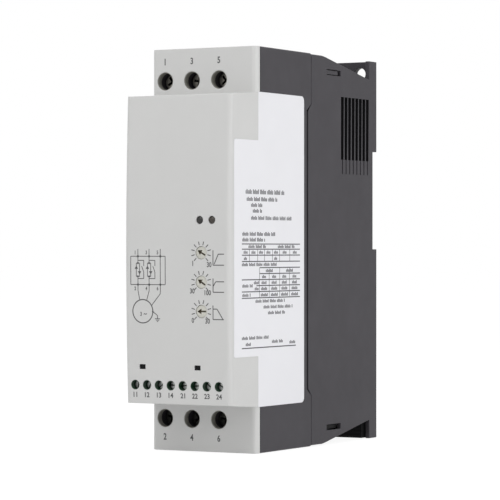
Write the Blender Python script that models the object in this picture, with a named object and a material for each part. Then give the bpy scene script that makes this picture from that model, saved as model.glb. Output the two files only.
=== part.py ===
"""Soft starter for a small three phase motor, 45 mm wide, for a 35 mm mounting rail.

Metres, +Z up, front towards -Y. The origin is under the middle of the device, on the
plane that its lower end stands on. The line terminals are at the top, the load
terminals at the bottom, and both ends are built alike.
"""

from math import cos, pi, radians, sin, tau

import bmesh
import bpy
from mathutils import Matrix, Vector

# Overall size, and the clearance that all neighbouring pieces keep
WIDTH = 0.045
HEIGHT = 0.150
DEPTH = 0.1184
GAP = 0.0003
HALF = WIDTH / 2
FRONT = -DEPTH / 2
BACK = DEPTH / 2

# How far a cutter reaches past a face, and how far joined solids reach into each other
PAST = 0.0020
INTO = 0.0006

# Front cover: a raised nose between two recessed terminal shelves
SHELF_SETBACK = 0.0199
SHELF_PLATE = 0.0023
COVER_WALL = 0.0015
NOSE_END = 0.01725
NOSE_BULGE = 0.0014
NOSE_ARC_STEPS = 8
SIDE_ROUND = 0.0020
NOSE_ROUND = 0.0008
LIP_THICK = 0.0012
LIP_LENGTH = 0.0040
LIP_ROOT = 0.0015
POST_RADIUS = 0.0022
POST_IN = 0.0042
POST_LOW = 0.0180
POST_HIGH = 0.0050
SHELF_Y = FRONT + SHELF_SETBACK
COVER_BACK = SHELF_Y + SHELF_PLATE
COVER_INNER = HALF - COVER_WALL

# The two dark housings. The seam between them lies close to the middle of the depth.
HOUSING_WALL = 0.0018
EDGE_ROUND = 0.0006
SEAM_Y = 0.0002
SEAM_STEP = 0.0035
SEAM_JOG_OUTER = 0.0194
SEAM_JOG_INNER = 0.0220
REAR_INSET = 0.0003
TAPER_LEAD = 0.0127
TAPER_END = 0.0064
TAPER_DROP = 0.0074
TAPER_WALL = 0.0012
PLATE_THICK = 0.0030
RIB_REACH = 0.0020
RIB_THICK = 0.0015
MIDDLE_FRONT = COVER_BACK + GAP
INNER_HALF = HALF - HOUSING_WALL
TAPER_FRONT_Y = SEAM_Y + TAPER_LEAD
TAPER_BACK_Y = BACK - TAPER_END
REAR_WALL_Y = TAPER_BACK_Y + TAPER_WALL
PLATE_Y = BACK - PLATE_THICK

# Flat place for the label, by its distances from the seam, the shelf, the front and the ends
LABEL_RECESS = 0.00012
LABEL_BACK = 0.0024
LABEL_STEP = 0.0011
LABEL_FRONT = 0.0038
LABEL_LOW = 0.0170
LABEL_HIGH = 0.0167
LABEL_INNER_LOW = 0.0357
LABEL_INNER_HIGH = 0.0353

# Power terminals: screw, lift clamp, bar and chamber, three at each end
POLE_END = 0.0120
POLE_SIDE_WALL = 0.0019
POLE_PITCH = WIDTH * 0.2578
WELL_RADIUS = 0.0034
HEAD_DEPTH = 0.0055
HEAD_RADIUS = 0.0031
HEAD_THICK = 0.0025
HEAD_BEVEL = 0.0004
SHANK_RADIUS = 0.0020
SCREW_PITCH = 0.0007
SCREW_TURNS = 6
CROSS_HALF = 0.0005
LEDGE_THICK = 0.0014
CLAMP_HALF = 0.0035
CLAMP_SIDE = 0.0009
CLAMP_FRONT = 0.0016
CLAMP_REAR = 0.0014
CLAMP_HEIGHT = 0.0070
CLAMP_END_ROOM = 0.0005
WIRE_ROOM = 0.0050
BAR_HALF = 0.0022
BAR_THICK = 0.0012
BAR_RISE = 0.0070
RIB_RISE = 0.0040
CHAMBER_FLOOR = 0.0035
HEAD_Y = SHELF_Y + HEAD_DEPTH
HEAD_BACK = HEAD_Y + HEAD_THICK
LEDGE_BACK = HEAD_BACK + GAP + LEDGE_THICK
CLAMP_TRAVEL = SCREW_PITCH * SCREW_TURNS
CLAMP_Y = LEDGE_BACK + GAP + CLAMP_TRAVEL
BAR_Y = CLAMP_Y + CLAMP_FRONT + GAP
CLAMP_ROOM_BACK = BAR_Y + BAR_THICK + WIRE_ROOM
CLAMP_BACK = CLAMP_ROOM_BACK + CLAMP_REAR
CHAMBER_BACK = CLAMP_BACK + GAP
BLOCK_BACK = CHAMBER_BACK + LEDGE_THICK
CHAMBER_HALF = CLAMP_HALF + GAP
CHAMBER_NEAR = POLE_END - CLAMP_HEIGHT / 2 - CLAMP_END_ROOM
CHAMBER_FAR = POLE_END + CLAMP_HEIGHT / 2 + CLAMP_END_ROOM
CAVITY_END = CHAMBER_FAR + CHAMBER_FLOOR
BAR_BEND = CAVITY_END + BAR_RISE
RIB_END = BAR_BEND + RIB_RISE
FIRST_POLE_X = -HALF + POLE_SIDE_WALL + CHAMBER_HALF
POLE_XS = [FIRST_POLE_X + POLE_PITCH * i for i in range(3)]

# Control terminals: eight in one block that fills the width, so that 45 mm gives 5.08 mm of pitch
CONTROL_COUNT = 8
CONTROL_Z = 0.0253
CONTROL_HOLE = 0.0018
CONTROL_HEAD_DEPTH = 0.0024
CONTROL_HEAD_RADIUS = 0.00145
CONTROL_HEAD_THICK = 0.0013
CONTROL_SLOT_HALF = 0.00025
CONTROL_SHANK = 0.00105
CONTROL_SCREW_PITCH = 0.00045
CONTROL_TURNS = 4
CONTROL_CLAMP_HALF = 0.0016
CONTROL_CLAMP_SIDE = 0.0005
CONTROL_CLAMP_PLATE = 0.0008
CONTROL_CLAMP_HEIGHT = 0.0032
CONTROL_ROOM = 0.0022
CONTROL_STRIP = 0.0006
CONTROL_SIDE_WALL = 0.0005
CONTROL_RIGHT = 0.0009
BLOCK_TOP = 0.0303
SLOT_ANGLES = (8, 20, 52, 96, 84, 88, 128, 118)
CONTROL_LEFT_X = -COVER_INNER + GAP
CONTROL_RIGHT_X = COVER_INNER - GAP - CONTROL_RIGHT
CONTROL_FIRST_X = CONTROL_LEFT_X + CONTROL_SIDE_WALL + CONTROL_CLAMP_HALF + GAP
CONTROL_PITCH = (CONTROL_RIGHT_X - CONTROL_FIRST_X) / (CONTROL_COUNT - 0.5)

# Dials, lights and the two small windows in the front, by shares of the width in X
DIAL_X = WIDTH * 0.2311
DIAL_Z = {
    "start_time": HEIGHT / 2 - 0.0011,
    "start_voltage": HEIGHT / 2 - 0.0118,
    "stop_time": HEIGHT / 2 - 0.0224,
}
DIAL_RADIUS = 0.00225
DIAL_LENGTH = 0.0036
DIAL_POINTS = {"start_time": 61, "start_voltage": 57, "stop_time": 90}
ARROW_HALF = 0.00028
ARROW_HEAD_HALF = 0.0010
ARROW_HEAD_START = 0.0002
ARROW_DEEP = 0.0009
STEM_RADIUS = 0.0010
STEM_SEAT = 0.0015
POT_HALF = 0.0045
POT_LENGTH = 0.0048
LIGHT_Z = HEIGHT / 2 + 0.0108
LIGHT_X = {"run_light": WIDTH * 0.2156, "fault_light": WIDTH * 0.3289}
LIGHT_RADIUS = 0.00155
LIGHT_DOME = 0.0005
WINDOW_XS = (-WIDTH / 3, WIDTH * 0.1867)
WINDOW_Z = 0.0320
WINDOW_SIZE = (0.0026, 0.0018)

# Boards, cooling and what stands on the boards
BOARD_THICK = 0.0016
BOARD_SETBACK = 0.0151
BOARD_END_ROOM = 0.0010
POWER_BOARD_AHEAD = 0.0024
BLOCK_BEVEL = 0.0005
RIBBON_X = HALF * 0.6667
RIBBON_SWAY = 0.0020
RIBBON_THICK = 0.0008
RIBBON_STEPS = 12
RIBBON_LOW = HEIGHT * 0.64
RIBBON_HIGH = HEIGHT * 0.72
SINK_BASE = 0.0050
SINK_FINS = 9
FIN_THICK = 0.0014
MODULE_HEIGHT = 0.0340
MODULE_THICK = 0.0114
MODULE_APART = 0.0020
SINK_END = 0.0240
CONTROL_BOARD_Y = FRONT + BOARD_SETBACK
POWER_BOARD_Y = SEAM_Y - POWER_BOARD_AHEAD - BOARD_THICK
MODULE_Y = POWER_BOARD_Y + BOARD_THICK + GAP
SINK_Y = MODULE_Y + MODULE_THICK + GAP
SINK_BACK = REAR_WALL_Y - GAP

# What stands on a board: left and right side as shares of half the width, low and high side
# as shares of the height, and height over the board as a share of the room between the boards
ON_CONTROL_BOARD = {
    "output_relay_1": (-0.78, -0.33, 0.373, 0.507, 0.26),
    "output_relay_2": (-0.22, 0.22, 0.373, 0.507, 0.26),
}
ON_POWER_BOARD = {
    "bypass_relay_1": (-0.78, -0.16, 0.400, 0.587, 0.45),
    "bypass_relay_2": (-0.07, 0.56, 0.400, 0.587, 0.45),
    "control_transformer": (-0.67, 0.58, 0.220, 0.360, 0.47),
}

# Air slots, snap windows and mounting holes
VENT_COUNT = 8
VENT_PITCH = 0.00309
VENT_WIDTH = 0.0017
VENT_FIRST = 0.0298
VENT_TOP = HEIGHT - 0.0154
VENT_BOTTOM = HEIGHT - 0.0399
VENT_GROOVE = 0.0055
GROOVE_DEEP = 0.0003
END_SLOTS = 7
END_SLOT_PITCH = WIDTH * 0.1156
END_SLOT_WIDTH = 0.0022
END_SLOT_FRONT = 0.0040
END_SLOT_BACK = 0.0050
SNAP_LEAD = 0.0160
SNAP_LENGTH = 0.0118
SNAP_END = 0.0053
SNAP_HEIGHT = 0.0022
SNAP_ARM = 0.0015
SNAP_ROOT = 0.0080
SNAP_Y = SEAM_Y + SNAP_LEAD
HOLE_X = HALF - 0.0060
HOLE_END = 0.0048
HOLE_RADIUS = 0.0025

# Rail notch with its hook, and the sprung latch
NOTCH_TOP = HEIGHT - 0.0360
NOTCH_BOTTOM = HEIGHT - 0.0748
NOTCH_DEEP = 0.0034
HOOK_HALF = HALF - 0.0075
HOOK_THICK = 0.0021
HOOK_REACH = 0.0025
LATCH_HALF = HALF - 0.0055
LATCH_LIP = 0.0020
LATCH_NOSE = 0.0056
LATCH_NOSE_SLOPE = 0.55
LATCH_TOP = NOTCH_BOTTOM - GAP
TAB_HEIGHT = 0.0070
TAB_ROUND = 0.0008
DRIVER_SLOT_HALF = 0.0035
DRIVER_SLOT_DEEP = 0.0045
DRIVER_SLOT_LOW = 0.0025
DRIVER_SLOT_HIGH = 0.0043
SPRING_RADIUS = 0.0009
SPRING_WIRE = 0.0002
SPRING_TURNS = 7
SPRING_STEPS = 8
SPRING_LENGTH = 0.0154
SPRING_BOTTOM = NOTCH_BOTTOM - 0.0409
SPRING_WAY_HALF = 0.0020
PEG_HALF = 0.0014
PEG_HEIGHT = 0.0030
PEG_SETBACK = 0.0008


def clear_scene():
    for thing in list(bpy.data.objects):
        bpy.data.objects.remove(thing, do_unlink=True)


def paint(name, colour, roughness, metallic=0.0):
    """One plain material of the finish that the piece has."""
    made = bpy.data.materials.new(name)
    made.use_nodes = True
    shader = made.node_tree.nodes["Principled BSDF"]
    shader.inputs["Base Color"].default_value = (*colour, 1.0)
    shader.inputs["Roughness"].default_value = roughness
    shader.inputs["Metallic"].default_value = metallic
    return made


def box(bm, low, high):
    """A block between two corners."""
    middle = (Vector(low) + Vector(high)) / 2
    size = Vector(high) - Vector(low)
    place = Matrix.Translation(middle) @ Matrix.Diagonal((*size, 1.0))
    bmesh.ops.create_cube(bm, size=1.0, matrix=place)


def prism(bm, outline, axis, low, high):
    """A flat closed outline pushed straight along an axis, from low to high."""
    places = {
        "X": lambda u, v: (low, u, v),
        "Y": lambda u, v: (u, low, v),
        "Z": lambda u, v: (u, v, low),
    }
    corners = [bm.verts.new(places[axis](u, v)) for u, v in outline]
    face = bm.faces.new(corners)
    pushed = bmesh.ops.extrude_face_region(bm, geom=[face])["geom"]
    move = Vector((0, 0, 0))
    move["XYZ".index(axis)] = high - low
    moved = [part for part in pushed if isinstance(part, bmesh.types.BMVert)]
    bmesh.ops.translate(bm, vec=move, verts=moved)
    bmesh.ops.recalc_face_normals(bm, faces=bm.faces)


def rod(bm, radius, centre, low, high, segments, axis="Y"):
    """A round rod along Y or X, centred on a point of the other two axes."""
    turn = {"Y": Matrix.Rotation(pi / 2, 4, "X"), "X": Matrix.Rotation(pi / 2, 4, "Y")}[axis]
    middle = (low + high) / 2
    place = {"Y": (centre[0], middle, centre[1]), "X": (middle, centre[0], centre[1])}[axis]
    bmesh.ops.create_cone(
        bm,
        cap_ends=True,
        segments=segments,
        radius1=radius,
        radius2=radius,
        depth=high - low,
        matrix=Matrix.Translation(place) @ turn,
    )


def turned(bm, profile, segments):
    """A round solid about the Y axis. The profile is (radius, y), from axis to axis."""
    verts = [bm.verts.new((radius, y, 0.0)) for radius, y in profile]
    edges = [bm.edges.new(pair) for pair in zip(verts, verts[1:])]
    bmesh.ops.spin(
        bm,
        geom=verts + edges,
        cent=(0, 0, 0),
        axis=(0, 1, 0),
        angle=tau,
        steps=segments,
        use_merge=True,
    )
    bmesh.ops.remove_doubles(bm, verts=bm.verts, dist=1e-7)
    bmesh.ops.recalc_face_normals(bm, faces=bm.faces)


def round_edges(bm, chosen, radius, segments):
    edges = [edge for edge in bm.edges if chosen(*[vert.co for vert in edge.verts])]
    bmesh.ops.bevel(
        bm,
        geom=edges,
        offset=radius,
        offset_type="OFFSET",
        segments=segments,
        profile=0.5,
        affect="EDGES",
        clamp_overlap=True,
        material=-1,
    )


def arc(centre, radius, start, end, steps):
    """Points of a round corner, from one angle to another in degrees."""
    turns = [radians(start + (end - start) * i / steps) for i in range(steps + 1)]
    return [(centre[0] + radius * cos(turn), centre[1] + radius * sin(turn)) for turn in turns]


def piece(name, bm, material=None, origin=(0, 0, 0), turn=0.0):
    """An object from a mesh that is drawn about its own origin, turned about Y."""
    mesh = bpy.data.meshes.new(name)
    bm.to_mesh(mesh)
    bm.free()
    mesh.shade_smooth()
    mesh.set_sharp_from_angle(angle=radians(32))
    made = bpy.data.objects.new(name, mesh)
    bpy.context.scene.collection.objects.link(made)
    made.location = origin
    made.rotation_euler = (0, turn, 0)
    if material:
        mesh.materials.append(material)
    return made


def work_on(target, name, bm, operation):
    """Joins a helper solid to the target, or cuts it away. The helper isn't rendered."""
    helper = piece(target.name + "_" + name, bm)
    helper.hide_render = True
    helper.display_type = "WIRE"
    if target.location.length or target.rotation_euler.y:
        helper.parent = target
    step = target.modifiers.new(name, "BOOLEAN")
    step.operation = operation
    step.solver = "EXACT"
    step.object = helper


def weld(target, name, bm):
    work_on(target, name, bm, "UNION")


def carve(target, name, bm):
    work_on(target, name, bm, "DIFFERENCE")


def at_end(end, distance):
    """Height of what lies this far from the top (line) or from the bottom (load) end."""
    return HEIGHT - distance if end == "line" else distance


def span(end, near, far):
    """Low and high Z of what lies between two distances from an end."""
    return sorted((at_end(end, near), at_end(end, far)))


def nose_surface(z, inset=0.0):
    """Y of the gently bulged front at a height."""
    half = HEIGHT / 2 - NOSE_END
    share = (z - HEIGHT / 2) / half
    return FRONT + NOSE_BULGE * share * share + inset


def nose_outline(inset, back):
    """Side view of the nose as (y, z), smaller all round by the inset."""
    low = NOSE_END + inset
    high = HEIGHT - NOSE_END - inset
    heights = [low + (high - low) * i / NOSE_ARC_STEPS for i in range(NOSE_ARC_STEPS + 1)]
    return [(nose_surface(z, inset), z) for z in heights] + [(back, high), (back, low)]


def label_outline():
    """Side view of the flat place for the label: a wide part and a narrower front part."""
    round_by = SIDE_ROUND
    back = SEAM_Y - LABEL_BACK
    step = SHELF_Y + LABEL_STEP
    front = FRONT + LABEL_FRONT
    low, high = LABEL_LOW, HEIGHT - LABEL_HIGH
    inner_low, inner_high = LABEL_INNER_LOW, HEIGHT - LABEL_INNER_HIGH
    corner_low = arc((back - round_by, low + round_by), round_by, -90, 0, 4)
    corner_high = arc((back - round_by, high - round_by), round_by, 0, 90, 4)
    front_part = [(step, high), (step, inner_high), (front, inner_high)]
    return corner_low + corner_high + front_part + [(front, inner_low), (step, inner_low), (step, low)]


def label_cutter():
    bm = bmesh.new()
    prism(bm, label_outline(), "X", HALF - LABEL_RECESS, HALF + PAST)
    return bm


def is_nose_side_edge(a, b):
    """Edges of the bulged front along the left and right side."""
    return abs(a.x - b.x) < 1e-6 and max(a.y, b.y) < FRONT + NOSE_BULGE + 1e-5


def is_nose_end_edge(a, b):
    """The upper and lower edge of the bulged front."""
    at_nose_end = abs(a.z - HEIGHT / 2) > HEIGHT / 2 - NOSE_END - 1e-5
    return abs(a.x - b.x) > HALF and max(a.y, b.y) < FRONT + NOSE_BULGE + 1e-5 and at_nose_end


def front_cover(grey):
    """Light grey shell: terminal shelves, raised nose, locating lips and board posts."""
    bm = bmesh.new()
    left = arc((-HALF + SIDE_ROUND, SHELF_Y + SIDE_ROUND), SIDE_ROUND, 180, 270, 3)
    right = arc((HALF - SIDE_ROUND, SHELF_Y + SIDE_ROUND), SIDE_ROUND, 270, 360, 3)
    plate = [(-HALF, COVER_BACK)] + left + right + [(HALF, COVER_BACK)]
    prism(bm, plate, "Z", 0.0, HEIGHT)
    cover = piece("front_cover", bm, grey)

    bm = bmesh.new()
    prism(bm, nose_outline(0.0, COVER_BACK), "X", -HALF, HALF)
    round_edges(bm, is_nose_side_edge, SIDE_ROUND, 3)
    round_edges(bm, is_nose_end_edge, NOSE_ROUND, 2)
    weld(cover, "nose", bm)

    bm = bmesh.new()
    prism(bm, nose_outline(COVER_WALL, COVER_BACK + PAST), "X", -COVER_INNER, COVER_INNER)
    carve(cover, "hollow", bm)

    bm = bmesh.new()
    lip_out = INNER_HALF - GAP
    lip_in = lip_out - LIP_THICK
    lip_front = COVER_BACK - LIP_ROOT
    lip_back = COVER_BACK + LIP_LENGTH
    for side in (-1, 1):
        outline = [
            (side * lip_in, lip_front),
            (side * (COVER_INNER + INTO), lip_front),
            (side * (COVER_INNER + INTO), COVER_BACK - GAP),
            (side * lip_out, COVER_BACK - GAP),
            (side * lip_out, lip_back),
            (side * lip_in, lip_back),
        ]
        prism(bm, outline, "Z", CAVITY_END + PAST, HEIGHT - CAVITY_END - PAST)
    weld(cover, "lips", bm)

    bm = bmesh.new()
    post_x = INNER_HALF - POST_IN
    for x in (-post_x, post_x):
        for z in (CAVITY_END + POST_LOW, HEIGHT - CAVITY_END - POST_HIGH):
            rod(bm, POST_RADIUS, (x, z), FRONT + COVER_WALL - GAP, CONTROL_BOARD_Y - GAP, 12)
    weld(cover, "posts", bm)

    bm = bmesh.new()
    for end in ("line", "load"):
        for x in POLE_XS:
            rod(bm, WELL_RADIUS, (x, at_end(end, POLE_END)), SHELF_Y - PAST, COVER_BACK + PAST, 24)
    carve(cover, "wells", bm)

    bm = bmesh.new()
    front = FRONT - PAST
    behind = FRONT + COVER_WALL + NOSE_BULGE + INTO
    for x in control_xs():
        rod(bm, CONTROL_HOLE, (x, CONTROL_Z), front, behind, 16)
    for z in DIAL_Z.values():
        rod(bm, DIAL_RADIUS + GAP, (DIAL_X, z), front, behind, 24)
    for x in LIGHT_X.values():
        rod(bm, LIGHT_RADIUS + GAP, (x, LIGHT_Z), front, behind, 16)
    width, height = WINDOW_SIZE
    low, high = WINDOW_Z - height / 2, WINDOW_Z + height / 2
    for x in WINDOW_XS:
        box(bm, (x - width / 2, front, low), (x + width / 2, behind, high))
    carve(cover, "front_holes", bm)

    bm = bmesh.new()
    for x in control_xs():
        box(
            bm,
            (x - CONTROL_HOLE, CONTROL_ROOM_FRONT, NOSE_END - PAST),
            (x + CONTROL_HOLE, CONTROL_ROOM_BACK, NOSE_END + COVER_WALL + INTO),
        )
    carve(cover, "wire_entries", bm)
    carve(cover, "label_place", label_cutter())


def control_xs():
    return [CONTROL_FIRST_X + CONTROL_PITCH * i for i in range(CONTROL_COUNT)]


# Planes of the control terminals, counted back from the bulged front above them
CONTROL_HEAD_Y = nose_surface(CONTROL_Z) + CONTROL_HEAD_DEPTH
CONTROL_HEAD_BACK = CONTROL_HEAD_Y + CONTROL_HEAD_THICK
CONTROL_LEDGE_BACK = CONTROL_HEAD_BACK + GAP + CONTROL_CLAMP_PLATE
CONTROL_TRAVEL = CONTROL_SCREW_PITCH * CONTROL_TURNS
CONTROL_CLAMP_Y = CONTROL_LEDGE_BACK + GAP + CONTROL_TRAVEL
CONTROL_STRIP_Y = CONTROL_CLAMP_Y + CONTROL_CLAMP_PLATE + GAP
CONTROL_ROOM_FRONT = CONTROL_STRIP_Y + CONTROL_STRIP
CONTROL_ROOM_BACK = CONTROL_ROOM_FRONT + CONTROL_ROOM
CONTROL_CLAMP_BACK = CONTROL_ROOM_BACK + CONTROL_CLAMP_PLATE
CONTROL_CHAMBER_BACK = CONTROL_CLAMP_BACK + GAP


def middle_housing(dark):
    """Dark shell with six terminal chambers, board ribs and four snap arms."""
    bm = bmesh.new()
    end_y = SEAM_Y + SEAM_STEP - GAP
    mid_y = SEAM_Y - GAP
    outline = [
        (MIDDLE_FRONT, 0.0),
        (end_y, 0.0),
        (end_y, SEAM_JOG_OUTER),
        (mid_y, SEAM_JOG_INNER),
        (mid_y, HEIGHT - SEAM_JOG_INNER),
        (end_y, HEIGHT - SEAM_JOG_OUTER),
        (end_y, HEIGHT),
        (MIDDLE_FRONT, HEIGHT),
    ]
    prism(bm, outline, "X", -HALF, HALF)
    round_edges(bm, is_long_outer_edge, EDGE_ROUND, 2)
    housing = piece("middle_housing", bm, dark)

    bm = bmesh.new()
    front = MIDDLE_FRONT - PAST
    back = SEAM_Y + SEAM_STEP + PAST
    box(bm, (-INNER_HALF, front, CAVITY_END), (INNER_HALF, back, HEIGHT - CAVITY_END))
    carve(housing, "cavity", bm)

    bm = bmesh.new()
    for end in ("line", "load"):
        low, high = span(end, HOUSING_WALL, CAVITY_END + PAST)
        box(bm, (-INNER_HALF, BLOCK_BACK, low), (INNER_HALF, back, high))
    carve(housing, "end_pockets", bm)

    bm = bmesh.new()
    pocket_x = POLE_XS[-1] + CHAMBER_HALF + HOUSING_WALL
    for end in ("line", "load"):
        low, high = span(end, HOUSING_WALL, CAVITY_END - HOUSING_WALL)
        box(bm, (pocket_x, front, low), (INNER_HALF, CHAMBER_BACK, high))
    carve(housing, "side_pockets", bm)

    chambers = bmesh.new()
    wells = bmesh.new()
    shanks = bmesh.new()
    entries = bmesh.new()
    slots = bmesh.new()
    for end in ("line", "load"):
        for x in POLE_XS:
            centre = (x, at_end(end, POLE_END))
            low, high = span(end, CHAMBER_NEAR, CHAMBER_FAR)
            box(chambers, (x - CHAMBER_HALF, LEDGE_BACK, low), (x + CHAMBER_HALF, CHAMBER_BACK, high))
            rod(wells, WELL_RADIUS, centre, front, HEAD_BACK + GAP, 24)
            rod(shanks, SHANK_RADIUS + GAP, centre, HEAD_BACK, LEDGE_BACK + INTO, 16)
            low, high = span(end, -PAST, CHAMBER_NEAR + INTO)
            half = BAR_HALF + 2 * GAP
            box(
                entries,
                (x - half, BAR_Y + BAR_THICK - GAP, low),
                (x + half, CLAMP_ROOM_BACK + GAP, high),
            )
            low, high = span(end, CHAMBER_FAR - INTO, CAVITY_END + INTO)
            box(
                slots,
                (x - BAR_HALF - GAP, BAR_Y - GAP, low),
                (x + BAR_HALF + GAP, BAR_Y + BAR_THICK + GAP, high),
            )
    carve(housing, "chambers", chambers)
    carve(housing, "wells", wells)
    carve(housing, "shank_holes", shanks)
    carve(housing, "wire_entries", entries)
    carve(housing, "bar_slots", slots)

    bm = bmesh.new()
    rib_back = POWER_BOARD_Y - GAP
    for side in (-1, 1):
        left, right = sorted((side * (INNER_HALF - RIB_REACH), side * (INNER_HALF + INTO)))
        box(bm, (left, rib_back - RIB_THICK, RIB_END), (right, rib_back, HEIGHT - RIB_END))
    weld(housing, "board_ribs", bm)

    bm = bmesh.new()
    for side in (-1, 1):
        for end in ("line", "load"):
            snap_arm(bm, side, end)
    weld(housing, "snap_arms", bm)
    carve(housing, "label_place", label_cutter())


def is_long_outer_edge(a, b):
    """Edges that run front to back along the outer corners of a housing."""
    at_corner = abs(a.z - HEIGHT / 2) > HEIGHT / 2 - TAPER_DROP - INTO
    return abs(a.x - b.x) < 1e-6 and abs(a.z - b.z) < abs(a.y - b.y) and at_corner


def is_edge_before_taper(a, b):
    """Those of the outer corner edges that lie in front of the taper."""
    return is_long_outer_edge(a, b) and max(a.y, b.y) < TAPER_FRONT_Y + 1e-5


def snap_arm(bm, side, end):
    """An arm that reaches into the rear housing, with a nose that fills its window."""
    out = INNER_HALF - GAP
    inside = out - SNAP_ARM
    root = INNER_HALF + INTO
    root_y = SEAM_Y + SEAM_STEP - SNAP_ROOT
    step_y = SEAM_Y + SEAM_STEP - SNAP_ARM
    nose_front = SNAP_Y + GAP
    nose_back = nose_front + SNAP_LENGTH - 2 * GAP
    tip = HALF - GAP if end == "line" else INNER_HALF + GAP
    outline = [
        (inside, root_y),
        (root, root_y),
        (root, step_y),
        (out, step_y),
        (out, nose_front),
        (tip, nose_front),
        (tip, nose_back - (tip - out)),
        (out, nose_back),
        (inside, nose_back),
    ]
    low, high = span(end, SNAP_END + GAP, SNAP_END + SNAP_HEIGHT - GAP)
    prism(bm, [(side * x, y) for x, y in outline], "Z", low, high)


def rear_outline(inset, front, back):
    """Side view of the rear housing's hollow as (y, z), tapering to the back."""
    slope = (TAPER_DROP - REAR_INSET) / (TAPER_BACK_Y - TAPER_FRONT_Y)
    base = REAR_INSET + inset
    back_end = base + (back - TAPER_FRONT_Y) * slope
    return [
        (front, base),
        (TAPER_FRONT_Y, base),
        (back, back_end),
        (back, HEIGHT - back_end),
        (TAPER_FRONT_Y, HEIGHT - base),
        (front, HEIGHT - base),
    ]


def rear_housing(dark):
    """Dark rear shell: tapered ends, air slots, mounting plate, rail notch and latch guide."""
    end_y = SEAM_Y + SEAM_STEP
    bm = bmesh.new()
    outline = [
        (end_y, REAR_INSET),
        (TAPER_FRONT_Y, REAR_INSET),
        (TAPER_BACK_Y, TAPER_DROP),
        (TAPER_BACK_Y, 0.0),
        (BACK, 0.0),
        (BACK, NOTCH_BOTTOM),
        (BACK - NOTCH_DEEP, NOTCH_BOTTOM),
        (BACK - NOTCH_DEEP, NOTCH_TOP),
        (BACK, NOTCH_TOP),
        (BACK, HEIGHT),
        (TAPER_BACK_Y, HEIGHT),
        (TAPER_BACK_Y, HEIGHT - TAPER_DROP),
        (TAPER_FRONT_Y, HEIGHT - REAR_INSET),
        (end_y, HEIGHT - REAR_INSET),
        (end_y, HEIGHT - SEAM_JOG_OUTER),
        (SEAM_Y, HEIGHT - SEAM_JOG_INNER),
        (SEAM_Y, SEAM_JOG_INNER),
        (end_y, SEAM_JOG_OUTER),
    ]
    prism(bm, outline, "X", -HALF, HALF)
    round_edges(bm, is_edge_before_taper, EDGE_ROUND, 2)
    housing = piece("rear_housing", bm, dark)

    bm = bmesh.new()
    prism(bm, rear_outline(HOUSING_WALL, SEAM_Y - PAST, REAR_WALL_Y), "X", -INNER_HALF, INNER_HALF)
    carve(housing, "hollow", bm)

    bm = bmesh.new()
    for end in ("line", "load"):
        low, high = span(end, -PAST, TAPER_DROP)
        box(bm, (-INNER_HALF, TAPER_BACK_Y - INTO, low), (INNER_HALF, PLATE_Y, high))
    carve(housing, "behind_taper", bm)

    bm = bmesh.new()
    guide = LATCH_HALF + GAP
    lip_y = PLATE_Y + PLATE_THICK / 2
    box(bm, (-guide, PLATE_Y, -PAST), (guide, lip_y, NOTCH_BOTTOM + PAST))
    carve(housing, "latch_guide", bm)
    bm = bmesh.new()
    narrow = guide - LATCH_LIP
    box(bm, (-narrow, lip_y - GAP, -PAST), (narrow, BACK + PAST, NOTCH_BOTTOM + PAST))
    carve(housing, "latch_way", bm)
    bm = bmesh.new()
    box(bm, (-guide, PLATE_Y - GAP, -PAST), (guide, BACK + PAST, TAB_HEIGHT + 2 * GAP))
    carve(housing, "tab_way", bm)

    vents = bmesh.new()
    grooves = bmesh.new()
    for i in range(VENT_COUNT):
        y = BACK - VENT_FIRST + VENT_PITCH * i
        for side in (-1, 1):
            inner, outer = side * (INNER_HALF - INTO), side * (HALF + INTO)
            low, high = sorted((inner, outer))
            box(vents, (low, y - VENT_WIDTH / 2, VENT_BOTTOM), (high, y + VENT_WIDTH / 2, VENT_TOP))
            low, high = sorted((side * (HALF - GROOVE_DEEP), outer))
            box(
                grooves,
                (low, y - VENT_WIDTH / 4, VENT_BOTTOM - VENT_GROOVE),
                (high, y + VENT_WIDTH / 4, VENT_BOTTOM + INTO),
            )
    carve(housing, "vents", vents)
    carve(housing, "vent_grooves", grooves)

    bm = bmesh.new()
    for i in range(END_SLOTS):
        x = END_SLOT_PITCH * (i - (END_SLOTS - 1) / 2)
        for end in ("line", "load"):
            low, high = span(end, -PAST, TAPER_DROP + HOUSING_WALL)
            box(
                bm,
                (x - END_SLOT_WIDTH / 2, TAPER_FRONT_Y + END_SLOT_FRONT, low),
                (x + END_SLOT_WIDTH / 2, TAPER_BACK_Y - END_SLOT_BACK, high),
            )
    carve(housing, "end_slots", bm)

    bm = bmesh.new()
    for side in (-1, 1):
        for end in ("line", "load"):
            left, right = sorted((side * (INNER_HALF - INTO), side * (HALF + INTO)))
            low, high = span(end, SNAP_END, SNAP_END + SNAP_HEIGHT)
            box(bm, (left, SNAP_Y, low), (right, SNAP_Y + SNAP_LENGTH, high))
    carve(housing, "snap_windows", bm)

    bm = bmesh.new()
    for x in (-HOLE_X, HOLE_X):
        rod(bm, HOLE_RADIUS, (x, at_end("line", HOLE_END)), PLATE_Y - PAST, BACK + PAST, 20)
    carve(housing, "mounting_holes", bm)

    bm = bmesh.new()
    box(bm, (-HOOK_HALF, BACK - HOOK_THICK, NOTCH_TOP - HOOK_REACH), (HOOK_HALF, BACK, NOTCH_TOP + INTO))
    weld(housing, "rail_hook", bm)
    bm = bmesh.new()
    peg_top = SPRING_BOTTOM - GAP
    box(bm, (-PEG_HALF, PLATE_Y - INTO, peg_top - PEG_HEIGHT), (PEG_HALF, BACK - PEG_SETBACK, peg_top))
    weld(housing, "spring_peg", bm)


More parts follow.
